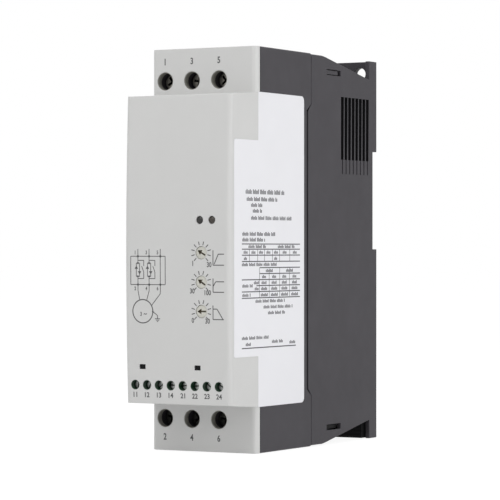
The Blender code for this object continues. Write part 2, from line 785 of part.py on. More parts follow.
def din_latch(black):
    """Black slide behind the rear housing: tab, guided plate and a sloped nose for the rail."""
    front = PLATE_Y + GAP
    wing_back = PLATE_Y + PLATE_THICK / 2 - GAP
    back = BACK - GAP
    narrow = LATCH_HALF - LATCH_LIP
    bm = bmesh.new()
    outline = [
        (-LATCH_HALF, front),
        (LATCH_HALF, front),
        (LATCH_HALF, wing_back),
        (narrow, wing_back),
        (narrow, back),
        (-narrow, back),
        (-narrow, wing_back),
        (-LATCH_HALF, wing_back),
    ]
    prism(bm, outline, "Z", TAB_HEIGHT - INTO, LATCH_TOP)
    latch = piece("din_latch", bm, black)

    bm = bmesh.new()
    nose_front = BACK - HOOK_THICK + GAP
    nose = [
        (nose_front, LATCH_TOP - PAST),
        (back, LATCH_TOP - PAST),
        (back, LATCH_TOP + LATCH_NOSE * LATCH_NOSE_SLOPE),
        (nose_front, LATCH_TOP + LATCH_NOSE),
    ]
    prism(bm, nose, "X", -HOOK_HALF, HOOK_HALF)
    weld(latch, "nose", bm)

    bm = bmesh.new()
    box(bm, (-LATCH_HALF, TAPER_BACK_Y + GAP, GAP), (LATCH_HALF, back, TAB_HEIGHT))
    round_edges(bm, lambda a, b: abs(a.x - b.x) > HALF / 2 and max(a.y, b.y) < PLATE_Y, TAB_ROUND, 2)
    weld(latch, "tab", bm)

    bm = bmesh.new()
    top = SPRING_BOTTOM + SPRING_LENGTH + GAP
    low = SPRING_BOTTOM - PEG_HEIGHT - 3 * GAP
    box(bm, (-SPRING_WAY_HALF, front - INTO, low), (SPRING_WAY_HALF, BACK + PAST, top))
    carve(latch, "spring_window", bm)
    bm = bmesh.new()
    box(
        bm,
        (-DRIVER_SLOT_HALF, PLATE_Y - DRIVER_SLOT_DEEP, DRIVER_SLOT_LOW),
        (DRIVER_SLOT_HALF, BACK + PAST, DRIVER_SLOT_HIGH),
    )
    carve(latch, "driver_slot", bm)


def latch_spring(steel):
    """Coil spring between the peg of the housing and the top of the latch's window."""
    centre_y = PLATE_Y + PLATE_THICK / 2
    count = SPRING_TURNS * SPRING_STEPS
    rise = (SPRING_LENGTH - 2 * SPRING_WIRE) / count
    curve = bpy.data.curves.new("latch_spring", "CURVE")
    curve.dimensions = "3D"
    curve.bevel_depth = SPRING_WIRE
    curve.bevel_resolution = 0
    curve.use_fill_caps = True
    line = curve.splines.new("POLY")
    line.points.add(count)
    for i, point in enumerate(line.points):
        turn = tau * i / SPRING_STEPS
        x = SPRING_RADIUS * cos(turn)
        y = centre_y + SPRING_RADIUS * sin(turn)
        point.co = (x, y, SPRING_BOTTOM + SPRING_WIRE + rise * i, 1.0)
    spring = bpy.data.objects.new("latch_spring", curve)
    curve.materials.append(steel)
    bpy.context.scene.collection.objects.link(spring)


def power_screw(name, x, end, steel):
    """Terminal screw with a cross recess, held by its head in the well."""
    bm = bmesh.new()
    tip = CLAMP_TRAVEL + LEDGE_THICK + 2 * GAP + CLAMP_FRONT + HEAD_THICK
    profile = [
        (0.0, 0.0),
        (HEAD_RADIUS - HEAD_BEVEL, 0.0),
        (HEAD_RADIUS, HEAD_BEVEL),
        (HEAD_RADIUS, HEAD_THICK),
        (SHANK_RADIUS, HEAD_THICK),
        (SHANK_RADIUS, tip - HEAD_BEVEL),
        (SHANK_RADIUS - HEAD_BEVEL, tip),
        (0.0, tip),
    ]
    turned(bm, profile, 20)
    angle = radians(20) if end == "line" else radians(65)
    screw = piece(name, bm, steel, (x, HEAD_Y, at_end(end, POLE_END)), angle)
    bm = bmesh.new()
    arm, half = HEAD_RADIUS * 0.72, CROSS_HALF
    cross = []
    for quarter in range(4):
        turn = quarter * pi / 2
        for u, v in ((half, half), (half, arm), (-half, arm)):
            cross.append((u * cos(turn) - v * sin(turn), u * sin(turn) + v * cos(turn)))
    prism(bm, cross, "Y", -INTO, HEAD_THICK / 2)
    carve(screw, "recess", bm)


def lift_clamp(name, origin, sizes, steel):
    """Box clamp, open along Z, whose front plate has the screw's thread."""
    half, side, front, rear, length, height, bore, segments = sizes
    bm = bmesh.new()
    box(bm, (-half, 0.0, -height / 2), (half, length, height / 2))
    clamp = piece(name, bm, steel, origin)
    bm = bmesh.new()
    box(bm, (side - half, front, -height), (half - side, length - rear, height))
    carve(clamp, "wire_way", bm)
    bm = bmesh.new()
    rod(bm, bore, (0.0, 0.0), -INTO, front + INTO, segments)
    carve(clamp, "thread", bm)


def current_bar(name, x, end, copper):
    """Bent flat bar from the terminal, through the chamber's floor, back to the power board."""
    bm = bmesh.new()
    foot_y = POWER_BOARD_Y - GAP
    near = CHAMBER_NEAR + GAP
    bend = BAR_BEND
    ends = [(BAR_Y, near), (BAR_Y, bend), (foot_y, bend)]
    ends += [(foot_y, bend - BAR_THICK), (BAR_Y + BAR_THICK, bend - BAR_THICK), (BAR_Y + BAR_THICK, near)]
    prism(bm, [(y, at_end(end, distance)) for y, distance in ends], "X", x - BAR_HALF, x + BAR_HALF)
    piece(name, bm, copper)


def power_terminals(steel, dark_steel, copper):
    half = CLAMP_HALF
    length = CLAMP_BACK - CLAMP_Y
    sizes = (half, CLAMP_SIDE, CLAMP_FRONT, CLAMP_REAR, length, CLAMP_HEIGHT, SHANK_RADIUS + GAP / 2, 16)
    for end in ("line", "load"):
        for i, x in enumerate(POLE_XS, start=1):
            power_screw(f"{end}_screw_{i}", x, end, dark_steel)
            lift_clamp(f"{end}_clamp_{i}", (x, CLAMP_Y, at_end(end, POLE_END)), sizes, steel)
            current_bar(f"{end}_bar_{i}", x, end, copper)


def control_terminals(green, steel):
    """One moulded block with its contact strips, eight clamps and eight slotted screws."""
    bm = bmesh.new()
    front = nose_surface(NOSE_END, COVER_WALL) + GAP
    bottom = NOSE_END + COVER_WALL + GAP
    box(bm, (CONTROL_LEFT_X, front, bottom), (CONTROL_RIGHT_X, CONTROL_BOARD_Y - GAP, BLOCK_TOP))
    block = piece("control_terminal_block", bm, green)
    chambers = bmesh.new()
    heads = bmesh.new()
    shanks = bmesh.new()
    entries = bmesh.new()
    strips = bmesh.new()
    half = CONTROL_CLAMP_HALF + GAP
    low = CONTROL_Z - CONTROL_CLAMP_HEIGHT / 2 - GAP
    high = CONTROL_Z + CONTROL_CLAMP_HEIGHT / 2 + GAP
    inner = CONTROL_CLAMP_HALF - CONTROL_CLAMP_SIDE
    for x in control_xs():
        centre = (x, CONTROL_Z)
        box(chambers, (x - half, CONTROL_LEDGE_BACK, low), (x + half, CONTROL_CHAMBER_BACK, high))
        rod(heads, CONTROL_HEAD_RADIUS + GAP, centre, front - INTO, CONTROL_HEAD_BACK + GAP, 14)
        rod(shanks, CONTROL_SHANK + GAP, centre, CONTROL_HEAD_BACK, CONTROL_LEDGE_BACK + INTO, 12)
        box(
            entries,
            (x - half, CONTROL_ROOM_FRONT, bottom - INTO),
            (x + half, CONTROL_ROOM_BACK, low + INTO),
        )
        strip_half = inner - GAP
        box(
            strips,
            (x - strip_half, CONTROL_STRIP_Y, CONTROL_Z - CONTROL_CLAMP_HEIGHT / 2),
            (x + strip_half, CONTROL_STRIP_Y + CONTROL_STRIP, high + INTO),
        )
    carve(block, "chambers", chambers)
    carve(block, "head_holes", heads)
    carve(block, "shank_holes", shanks)
    carve(block, "wire_entries", entries)
    weld(block, "strips", strips)

    plate = CONTROL_CLAMP_PLATE
    length = CONTROL_CLAMP_BACK - CONTROL_CLAMP_Y
    sizes = (CONTROL_CLAMP_HALF, CONTROL_CLAMP_SIDE, plate, plate, length, CONTROL_CLAMP_HEIGHT)
    sizes += (CONTROL_SHANK + GAP / 2, 10)
    tip = CONTROL_CLAMP_Y + plate - CONTROL_HEAD_Y
    for i, x in enumerate(control_xs(), start=1):
        lift_clamp(f"control_clamp_{i}", (x, CONTROL_CLAMP_Y, CONTROL_Z), sizes, steel)
        bm = bmesh.new()
        profile = [(0.0, 0.0), (CONTROL_HEAD_RADIUS, 0.0), (CONTROL_HEAD_RADIUS, CONTROL_HEAD_THICK)]
        profile += [(CONTROL_SHANK, CONTROL_HEAD_THICK), (CONTROL_SHANK, tip), (0.0, tip)]
        turned(bm, profile, 14)
        origin = (x, CONTROL_HEAD_Y, CONTROL_Z)
        screw = piece(f"control_screw_{i}", bm, steel, origin, radians(SLOT_ANGLES[i - 1]))
        bm = bmesh.new()
        reach = CONTROL_HEAD_RADIUS * 1.5
        box(bm, (-CONTROL_SLOT_HALF, -INTO, -reach), (CONTROL_SLOT_HALF, CONTROL_HEAD_THICK / 2, reach))
        carve(screw, "slot", bm)


def dials(cream, blue):
    """Three trimmers: a cream rotor with an arrow slot, in a square body on the board."""
    for name, z in DIAL_Z.items():
        start = nose_surface(z) + GAP
        pot_front = CONTROL_BOARD_Y - GAP - POT_LENGTH
        stem_end = pot_front + STEM_SEAT - start
        bm = bmesh.new()
        profile = [(0.0, 0.0), (DIAL_RADIUS, 0.0), (DIAL_RADIUS, DIAL_LENGTH)]
        profile += [(STEM_RADIUS, DIAL_LENGTH), (STEM_RADIUS, stem_end), (0.0, stem_end)]
        turned(bm, profile, 24)
        dial = piece(name + "_dial", bm, cream, (DIAL_X, start, z), -radians(DIAL_POINTS[name]))
        bm = bmesh.new()
        reach = DIAL_RADIUS * 0.82
        arrow = [
            (-ARROW_HALF, -reach),
            (ARROW_HALF, -reach),
            (ARROW_HALF, ARROW_HEAD_START),
            (ARROW_HEAD_HALF, ARROW_HEAD_START),
            (0.0, reach),
            (-ARROW_HEAD_HALF, ARROW_HEAD_START),
            (-ARROW_HALF, ARROW_HEAD_START),
        ]
        prism(bm, arrow, "Y", -INTO, ARROW_DEEP)
        carve(dial, "arrow", bm)

        bm = bmesh.new()
        box(
            bm,
            (DIAL_X - POT_HALF, pot_front, z - POT_HALF),
            (DIAL_X + POT_HALF, CONTROL_BOARD_Y - GAP, z + POT_HALF),
        )
        pot = piece(name + "_pot", bm, blue)
        bm = bmesh.new()
        rod(bm, STEM_RADIUS + GAP, (DIAL_X, z), pot_front - INTO, pot_front + STEM_SEAT + GAP, 12)
        carve(pot, "stem_hole", bm)


def lights(brown):
    """Two round light guides from their lamps on the board to the front."""
    for name, x in LIGHT_X.items():
        start = nose_surface(LIGHT_Z) + GAP / 2
        length = CONTROL_BOARD_Y - GAP - start
        bm = bmesh.new()
        profile = [(0.0, 0.0), (LIGHT_RADIUS * 0.7, LIGHT_DOME / 5), (LIGHT_RADIUS, LIGHT_DOME)]
        profile += [(LIGHT_RADIUS, length), (0.0, length)]
        turned(bm, profile, 16)
        piece(name, bm, brown, (x, start, LIGHT_Z))


def bevelled_block(name, low, high, material):
    bm = bmesh.new()
    box(bm, low, high)
    bmesh.ops.bevel(
        bm,
        geom=bm.edges,
        offset=BLOCK_BEVEL,
        segments=1,
        profile=0.5,
        affect="EDGES",
        material=-1,
    )
    piece(name, bm, material)


def boards(green, black, orange, grey, yellow):
    """Both circuit boards with what stands on them, and the flat cable between them."""
    half = INNER_HALF - GAP
    board_half = half - LIP_THICK - 2 * GAP
    end = CAVITY_END + BOARD_END_ROOM
    front_back = CONTROL_BOARD_Y + BOARD_THICK
    bm = bmesh.new()
    box(bm, (-board_half, CONTROL_BOARD_Y, end), (board_half, front_back, HEIGHT - end))
    piece("control_board", bm, green)
    bm = bmesh.new()
    end += BOARD_END_ROOM
    box(bm, (-half, POWER_BOARD_Y, end), (half, POWER_BOARD_Y + BOARD_THICK, HEIGHT - end))
    piece("power_board", bm, green)

    on_control = front_back + GAP
    on_power = POWER_BOARD_Y - GAP
    room = on_power - on_control
    for name, (left, right, low, high, share) in ON_CONTROL_BOARD.items():
        low_corner = (HALF * left, on_control, HEIGHT * low)
        high_corner = (HALF * right, on_control + room * share, HEIGHT * high)
        bevelled_block(name, low_corner, high_corner, orange)
    for name, (left, right, low, high, share) in ON_POWER_BOARD.items():
        low_corner = (HALF * left, on_power - room * share, HEIGHT * low)
        high_corner = (HALF * right, on_power, HEIGHT * high)
        bevelled_block(name, low_corner, high_corner, yellow if name == "control_transformer" else black)

    bm = bmesh.new()
    path = []
    for i in range(RIBBON_STEPS + 1):
        share = i / RIBBON_STEPS
        path.append((RIBBON_X + RIBBON_SWAY * sin(share * tau), on_control + room * share))
    outline = path + [(x - RIBBON_THICK, y) for x, y in reversed(path)]
    prism(bm, outline, "Z", RIBBON_LOW, RIBBON_HIGH)
    piece("board_ribbon", bm, grey)


def cooling(aluminium, black):
    """Finned heat sink with the two power modules on its flat face."""
    half = INNER_HALF - GAP
    base_back = SINK_Y + SINK_BASE
    step = (2 * half - FIN_THICK) / (SINK_FINS - 1)
    outline = [(-half, SINK_Y)]
    for i in range(SINK_FINS):
        x = -half + step * i
        outline += [(x, base_back), (x, SINK_BACK), (x + FIN_THICK, SINK_BACK), (x + FIN_THICK, base_back)]
    outline = [outline[0]] + outline[2:-1] + [(half, SINK_Y)]
    bm = bmesh.new()
    prism(bm, outline, "Z", SINK_END, HEIGHT - SINK_END)
    piece("heat_sink", bm, aluminium)
    low = HEIGHT / 2 - MODULE_HEIGHT / 2
    reach = (half - MODULE_APART) / 2
    back = MODULE_Y + MODULE_THICK
    for i, x in enumerate((-half / 2, half / 2), start=1):
        low_corner = (x - reach, MODULE_Y, low)
        bevelled_block(f"thyristor_module_{i}", low_corner, (x + reach, back, low + MODULE_HEIGHT), black)


def main():
    clear_scene()
    light_grey = paint("light_grey_plastic", (0.58, 0.58, 0.58), 0.5)
    dark_grey = paint("dark_grey_plastic", (0.085, 0.083, 0.09), 0.55)
    black = paint("black_plastic", (0.012, 0.012, 0.013), 0.5)
    green = paint("green_plastic", (0.01, 0.05, 0.02), 0.5)
    board_green = paint("circuit_board", (0.01, 0.12, 0.04), 0.4)
    steel = paint("zinc_plated_steel", (0.55, 0.55, 0.53), 0.35, 1.0)
    dark_steel = paint("dark_steel", (0.12, 0.12, 0.12), 0.4, 1.0)
    copper = paint("tinned_copper", (0.70, 0.62, 0.52), 0.35, 1.0)
    aluminium = paint("aluminium", (0.65, 0.66, 0.67), 0.4, 1.0)
    cream = paint("cream_plastic", (0.58, 0.58, 0.49), 0.5)
    blue = paint("blue_plastic", (0.02, 0.08, 0.25), 0.45)
    brown = paint("brown_clear_plastic", (0.07, 0.055, 0.05), 0.2)
    orange = paint("orange_plastic", (0.55, 0.20, 0.04), 0.45)
    yellow = paint("yellow_tape", (0.60, 0.48, 0.08), 0.5)
    cable_grey = paint("ribbon_grey", (0.30, 0.31, 0.33), 0.6)

    front_cover(light_grey)
    middle_housing(dark_grey)
    rear_housing(dark_grey)
    din_latch(black)
    latch_spring(steel)
    power_terminals(steel, dark_steel, copper)
    control_terminals(green, steel)
    dials(cream, blue)
    lights(brown)
    boards(board_green, black, orange, cable_grey, yellow)
    cooling(aluminium, black)


main()
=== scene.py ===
"""Soft starter for a small motor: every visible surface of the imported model, finished.

Metres, +Z up, front towards -Y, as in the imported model. The sections follow the device
as it is put together, from the rear housing to the print on the front.
"""

from math import copysign, cos, pi, radians, sin, tau

import bmesh
import bpy
from mathutils import Matrix, Vector
from mathutils.bvhtree import BVHTree


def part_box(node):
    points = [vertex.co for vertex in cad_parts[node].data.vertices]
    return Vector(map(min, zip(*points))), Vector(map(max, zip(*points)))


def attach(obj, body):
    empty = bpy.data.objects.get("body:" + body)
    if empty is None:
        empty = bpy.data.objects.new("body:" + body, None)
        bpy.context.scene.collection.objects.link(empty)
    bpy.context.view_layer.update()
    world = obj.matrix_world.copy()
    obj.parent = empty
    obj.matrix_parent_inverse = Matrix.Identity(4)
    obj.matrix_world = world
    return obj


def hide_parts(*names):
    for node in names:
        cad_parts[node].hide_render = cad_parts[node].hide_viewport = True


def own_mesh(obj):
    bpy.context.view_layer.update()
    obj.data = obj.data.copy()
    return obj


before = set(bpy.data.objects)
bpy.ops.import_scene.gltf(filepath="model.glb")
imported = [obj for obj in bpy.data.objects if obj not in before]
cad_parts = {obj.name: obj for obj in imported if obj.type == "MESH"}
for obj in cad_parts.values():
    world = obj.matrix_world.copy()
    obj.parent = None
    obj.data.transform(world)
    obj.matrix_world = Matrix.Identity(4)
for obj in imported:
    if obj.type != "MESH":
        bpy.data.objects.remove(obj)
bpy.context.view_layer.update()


# Rear housing: the dark grey shell with the air slots, the rail notch and the mounting plate.
# It is injection moulded in glass filled polyamide, with a fine eroded grain on the outside,
# and the four arms of the middle housing snap into its windows.
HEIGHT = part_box("rear_housing")[1].z
FLAT_ABOVE = 0.0001


def merged_copy(node):
    """The mesh of a node with its triangles joined to whole flat faces."""
    bm = bmesh.new()
    bm.from_mesh(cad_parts[node].data)
    bmesh.ops.remove_doubles(bm, verts=bm.verts, dist=1e-6)
    bmesh.ops.dissolve_limit(bm, angle_limit=radians(0.3), verts=bm.verts, edges=bm.edges)
    return bm


def rounded(bm, edges, radius, segments=2):
    """Rounds edges and gives back the faces that this makes."""
    way = {"offset_type": "OFFSET", "profile": 0.5, "affect": "EDGES", "material": -1}
    return bmesh.ops.bevel(bm, geom=edges, offset=radius, segments=segments, **way)["faces"]


def break_edges(bm, edge_round, wanted=lambda edge: True):
    """Rounds the edges slightly, as a mould leaves them, and marks them as the rubbed places."""
    rubbed = bm.faces.layers.float.get("rubbed") or bm.faces.layers.float.new("rubbed")
    short = {vert for edge in bm.edges if edge.calc_length() < 2.2 * edge_round for vert in edge.verts}
    sharp = [edge for edge in bm.edges if edge.is_manifold and edge.calc_face_angle() > radians(30)]
    chosen = [edge for edge in sharp if not short & set(edge.verts) and wanted(edge)]
    for face in rounded(bm, chosen, edge_round):
        face[rubbed] = 1.0


def placed(name, data):
    """An object of some data, put into the scene."""
    made = bpy.data.objects.new(name, data)
    bpy.context.scene.collection.objects.link(made)
    return made


def finished(name, bm, body, material, replaced=(), smooth_below=40, inlay=None):
    """A piece from a mesh that is already in its place. Its large flat faces shade flat."""
    bm.normal_update()
    for edge in bm.edges:
        turn = edge.calc_face_angle() if edge.is_manifold else pi
        beside_flat = max((face.calc_area() for face in edge.link_faces), default=0) > FLAT_ABOVE
        edge.smooth = turn < radians(2 if beside_flat else smooth_below)
    for face in bm.faces:
        face.smooth = True
    mesh = bpy.data.meshes.new(name)
    bm.to_mesh(mesh)
    bm.free()
    mesh.materials.append(material)
    if inlay:
        mesh.materials.append(inlay)
    piece = placed(name, mesh)
    even = piece.modifiers.new("even_shading", "WEIGHTED_NORMAL")
    even.mode = "FACE_AREA"
    even.weight = 100
    even.keep_sharp = True
    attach(piece, body)
    if replaced:
        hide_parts(*replaced)
    return piece


def new_node(material, kind, **settings):
    """A shader node with its sockets or its own settings given by name."""
    node = material.node_tree.nodes.new(kind)
    for key, value in settings.items():
        if key in node.inputs:
            node.inputs[key].default_value = value
        else:
            setattr(node, key, value)
    return node


def new_material(name):
    """A material, its shader, the place of a point on the piece, and what links two sockets."""
    material = bpy.data.materials.new(name)
    material.use_nodes = True
    shader = material.node_tree.nodes["Principled BSDF"]
    place = new_node(material, "ShaderNodeTexCoord")
    return material, shader, place.outputs["Object"], material.node_tree.links.new


def pattern(material, place, kind, **settings):
    """A pattern of one kind that lies in the piece's own space."""
    made = new_node(material, kind, **settings)
    material.node_tree.links.new(place, made.inputs["Vector"])
    return made.outputs["Fac"]


def two_tones(material, factor, dark, light, start=0.3, end=0.7):
    """A colour that runs from a dark to a light tone with a pattern."""
    tone = new_node(material, "ShaderNodeValToRGB")
    tone.color_ramp.elements[0].position = start
    tone.color_ramp.elements[1].position = end
    tone.color_ramp.elements[0].color = (*dark, 1)
    tone.color_ramp.elements[1].color = (*light, 1)
    material.node_tree.links.new(factor, tone.inputs["Fac"])
    return tone.outputs["Color"]


def spread(material, factor, low, high, start=0.0, end=1.0):
    """Carries the part of a pattern from start to end over to the range from low to high."""
    ranges = {"From Min": start, "From Max": end, "To Min": low, "To Max": high}
    made = new_node(material, "ShaderNodeMapRange", **ranges)
    material.node_tree.links.new(factor, made.inputs["Value"])
    return made.outputs["Result"]


def gloss_between(material, factor, shader, low, high):
    """A roughness that varies with a pattern."""
    material.node_tree.links.new(spread(material, factor, low, high), shader.inputs["Roughness"])


def relief(material, height, shader, depth, strength=0.5):
    """A fine unevenness of the surface, in metres."""
    bump = new_node(material, "ShaderNodeBump", Strength=strength, Distance=depth)
    material.node_tree.links.new(height, bump.inputs["Height"])
    material.node_tree.links.new(bump.outputs["Normal"], shader.inputs["Normal"])


def moulded_plastic(name, colour, roughness, grain=2600.0, depth=0.00002, mottle=0.06, wear=0.0, shine=0.5):
    """Moulded plastic: eroded grain, faint flow marks, gloss that varies, and rubbed edges."""
    material, shader, place, link = new_material(name)
    shader.inputs["IOR"].default_value = 1.5
    shader.inputs["Specular IOR Level"].default_value = shine
    clouds = pattern(material, place, "ShaderNodeTexNoise", Scale=55.0, Detail=4.0, Roughness=0.6)
    dark = [channel * (1 - mottle) for channel in colour]
    light = [min(1, channel * (1 + mottle)) for channel in colour]
    tone = two_tones(material, clouds, dark, light)
    if wear:
        edges = new_node(material, "ShaderNodeAttribute", attribute_name="rubbed")
        patchy = new_node(material, "ShaderNodeMath", operation="MULTIPLY")
        link(edges.outputs["Fac"], patchy.inputs[0])
        link(clouds, patchy.inputs[1])
        blend = new_node(material, "ShaderNodeMix", data_type="RGBA")
        blend.inputs[7].default_value = (*[min(1, channel * 1.5 + 0.02) for channel in colour], 1)
        link(spread(material, patchy.outputs["Value"], 0, wear, 0.3, 0.7), blend.inputs[0])
        link(tone, blend.inputs[6])
        tone = blend.outputs[2]
    link(tone, shader.inputs["Base Color"])
    handled = pattern(material, place, "ShaderNodeTexNoise", Scale=160.0, Detail=3.0)
    gloss_between(material, handled, shader, roughness - 0.06, roughness + 0.06)
    eroded = pattern(material, place, "ShaderNodeTexNoise", Scale=grain, Detail=2.0)
    relief(material, eroded, shader, depth)
    return material


HOUSING_ROUND = 0.00018
SIDE_WALLS = 0.0206
SEAM_OPEN = 0.0009
VENT_LOW = 0.1095
VENT_TOP = HEIGHT - 0.0154
VENT_SPREAD = 0.00019
dark_grey = moulded_plastic("dark_grey_polyamide", (0.0435, 0.0405, 0.0470), 0.56, wear=0.5, shine=0.28)
bm = merged_copy("rear_housing")
seam = min(vert.co.y for vert in bm.verts)
vent_corners = [vert for vert in bm.verts if vert.co.z > VENT_LOW and abs(vert.co.x) > SIDE_WALLS]
vent_ys = sorted({round(vert.co.y, 6) for vert in vent_corners if abs(vert.co.z - VENT_TOP) < 1e-5})
for vert in bm.verts:
    if vert.co.y < seam + 0.0001:
        vert.co.y += SEAM_OPEN
for vert in vent_corners:
    if VENT_LOW < vert.co.z < VENT_TOP + 1e-5 and round(vert.co.y, 6) in vent_ys:
        vert.co.y += VENT_SPREAD if vent_ys.index(round(vert.co.y, 6)) % 2 else -VENT_SPREAD
break_edges(bm, HOUSING_ROUND)
# The walls of the air slots that face forward and back are coloured near black: painted shade in the slots.
vent_slot_painted_shade = moulded_plastic("vent_slot_walls_painted_shade", (0.010, 0.010, 0.011), 0.6, shine=0.12)
for face in bm.faces:
    middle = face.calc_center_median()
    in_slot = VENT_LOW < middle.z < VENT_TOP and abs(middle.x) > SIDE_WALLS
    face.material_index = int(in_slot and abs(face.normal.y) > 0.7)
finished("rear_shell", bm, "housing", dark_grey, ["rear_housing"], inlay=vent_slot_painted_shade)


# Rail latch: a black moulded slide in the back of the rear housing, with a nose for the rail.
# The tab at its lower end has two cheeks with grip ribs, which fill the housing's width, and a
# slot between them for a screwdriver that pulls it down.
GRIP_RIBS = 4
GRIP_PITCH = 0.0014
GRIP_LOW = 0.0013
GRIP_HALF = 0.0003
GRIP_PROUD = 0.00018
CHEEK_INNER = 0.0043
CHEEK_OUTER = 0.0204
CHEEK_FRONT = 0.0500
CHEEK_BACK = 0.0559
CHEEK_LOW = 0.0002
CHEEK_HIGH = 0.0063
GRIP_ROUND = 0.00012


def block(bm, middle, size):
    """A plain block about its middle."""
    bmesh.ops.create_cube(bm, size=1, matrix=Matrix.Translation(middle) @ Matrix.Diagonal((*size, 1)))


def joined(bm, part):
    """Puts a part into the piece that it belongs to."""
    mesh = bpy.data.meshes.new("part")
    part.to_mesh(mesh)
    part.free()
    bm.from_mesh(mesh)
    bpy.data.meshes.remove(mesh)


# This black also serves as painted shade on the middle housing's snap arms and on the seam tongues.
black = moulded_plastic("black_acetal_and_painted_shade", (0.004, 0.004, 0.0045), 0.5, depth=0.00001, shine=0.12)
bm = merged_copy("din_latch")
break_edges(bm, HOUSING_ROUND)
grips = bmesh.new()
width = CHEEK_OUTER - CHEEK_INNER
for side in (-1, 1):
    middle_x = side * (CHEEK_INNER + CHEEK_OUTER) / 2
    middle = (middle_x, (CHEEK_FRONT + CHEEK_BACK) / 2, (CHEEK_LOW + CHEEK_HIGH) / 2)
    block(grips, middle, (width, CHEEK_BACK - CHEEK_FRONT, CHEEK_HIGH - CHEEK_LOW))
    for rib in range(GRIP_RIBS):
        middle = (middle_x, CHEEK_FRONT + GRIP_PROUD, GRIP_LOW + GRIP_PITCH * rib)
        block(grips, middle, (width - 4 * GRIP_HALF, 4 * GRIP_PROUD, 2 * GRIP_HALF))
rounded(grips, grips.edges[:], GRIP_ROUND)
joined(bm, grips)
finished("rail_latch", bm, "din_latch", black, ["din_latch"])


# Latch spring: a compression spring of hard drawn wire on a peg of the rear housing.
# It presses the latch up against the rail and shortens as the tab is pulled.
WIRE_RADIUS = 0.0002
COILS = 9
TURN_STEPS = 28
WIRE_SEGMENTS = 10


def circle(bm, middle, radius, segments, filled=False, turn=0.0):
    """A circle that faces the front, and its edges."""
    place = Matrix.Translation(middle) @ Matrix.Rotation(turn, 4, "Y") @ Matrix.Rotation(pi / 2, 4, "X")
    made = bmesh.ops.create_circle(bm, cap_ends=filled, segments=segments, radius=radius, matrix=place)
    return list({edge for vert in made["verts"] for edge in vert.link_edges})


def bare_metal(name, colour, roughness, streak=(900.0, 900.0, 900.0), shade=0.78):
    """Bare or plated metal: a tone that varies, with fine marks along the way it was worked."""
    material, shader, place, link = new_material(name)
    shader.inputs["Metallic"].default_value = 1.0
    along = new_node(material, "ShaderNodeMapping", Scale=streak)
    link(place, along.inputs["Vector"])
    worked = along.outputs["Vector"]
    marks = pattern(material, worked, "ShaderNodeTexNoise", Scale=1.0, Detail=5.0, Roughness=0.65)
    dark = [channel * shade for channel in colour]
    link(two_tones(material, marks, dark, colour, 0.25, 0.75), shader.inputs["Base Color"])
    gloss_between(material, marks, shader, roughness - 0.08, roughness + 0.12)
    relief(material, marks, shader, 0.000006, 0.4)
    return material


spring_wire = bare_metal("drawn_spring_wire", (0.62, 0.61, 0.58), 0.3, streak=(400.0, 400.0, 3000.0))
spring_low, spring_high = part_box("latch_spring")
coil_radius = (spring_high.x - spring_low.x) / 2 - WIRE_RADIUS
coil_centre = (spring_low + spring_high) / 2
bm = bmesh.new()
coil_start = (coil_centre.x + coil_radius, coil_centre.y, spring_low.z + WIRE_RADIUS)
circle(bm, coil_start, WIRE_RADIUS, WIRE_SEGMENTS)
rise = spring_high.z - spring_low.z - 2 * WIRE_RADIUS
bmesh.ops.spin(
    bm,
    geom=bm.verts[:] + bm.edges[:],
    cent=(coil_centre.x, coil_centre.y, 0),
    axis=(0, 0, 1),
    dvec=(0, 0, rise / (COILS * TURN_STEPS)),
    angle=tau * COILS,
    steps=COILS * TURN_STEPS,
    use_merge=False,
)
bmesh.ops.holes_fill(bm, edges=[edge for edge in bm.edges if edge.is_boundary])
bmesh.ops.recalc_face_normals(bm, faces=bm.faces)
coil = finished("latch_coil", bm, "housing", spring_wire, ["latch_spring"], smooth_below=60)
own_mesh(coil)


# Heat sink: a finned aluminium extrusion that carries the two power modules.
# It is sawn from the bar and anodised black, with die lines along its length.
def dress_node(node, material):
    """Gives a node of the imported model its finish, with its shape as it is."""
    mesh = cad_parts[node].data
    mesh.materials.clear()
    mesh.materials.append(material)


anodised = bare_metal("black_anodised_aluminium", (0.03, 0.03, 0.032), 0.42, streak=(2600.0, 2600.0, 25.0))
dress_node("heat_sink", anodised)


# Power modules: two thyristor pairs, cast in black moulding compound.
# Each lies on the heat sink with thermal paste and is soldered to the power board.
compound = moulded_plastic("moulding_compound", (0.014, 0.014, 0.015), 0.5, grain=4200.0, depth=0.00001)
for number in (1, 2):
    dress_node(f"thyristor_module_{number}", compound)


# Power board and its two bypass relays, which bridge the modules once the motor is up to speed.
# The board is glass fibre laminate under green lacquer, with the copper tracks showing through.
def lacquered_board(name):
    """Green solder lacquer, in which tracks and gaps between them lie like bricks."""
    material, shader, place, link = new_material(name)
    weave = pattern(material, place, "ShaderNodeTexWave", Scale=900.0, Distortion=0.4, bands_direction="X")
    tracks = new_node(material, "ShaderNodeTexBrick", Scale=170.0, offset=0.37)
    tracks.inputs["Color1"].default_value = (0.012, 0.105, 0.040, 1)
    tracks.inputs["Color2"].default_value = (0.016, 0.130, 0.050, 1)
    tracks.inputs["Mortar"].default_value = (0.030, 0.190, 0.075, 1)
    tracks.inputs["Mortar Size"].default_value = 0.06
    turned = new_node(material, "ShaderNodeMapping", Rotation=(radians(90), 0, 0))
    link(place, turned.inputs["Vector"])
    link(turned.outputs["Vector"], tracks.inputs["Vector"])
    link(tracks.outputs["Color"], shader.inputs["Base Color"])
    gloss_between(material, weave, shader, 0.22, 0.34)
    relief(material, tracks.outputs["Fac"], shader, 0.00003, 0.4)
    shader.inputs["Coat Weight"].default_value = 0.3
    return material


lacquered = lacquered_board("green_lacquered_board")
dress_node("power_board", lacquered)
relay_black = moulded_plastic("black_relay_case", (0.013, 0.013, 0.014), 0.38, grain=3200.0, depth=0.00001)
for number in (1, 2):
    dress_node(f"bypass_relay_{number}", relay_black)


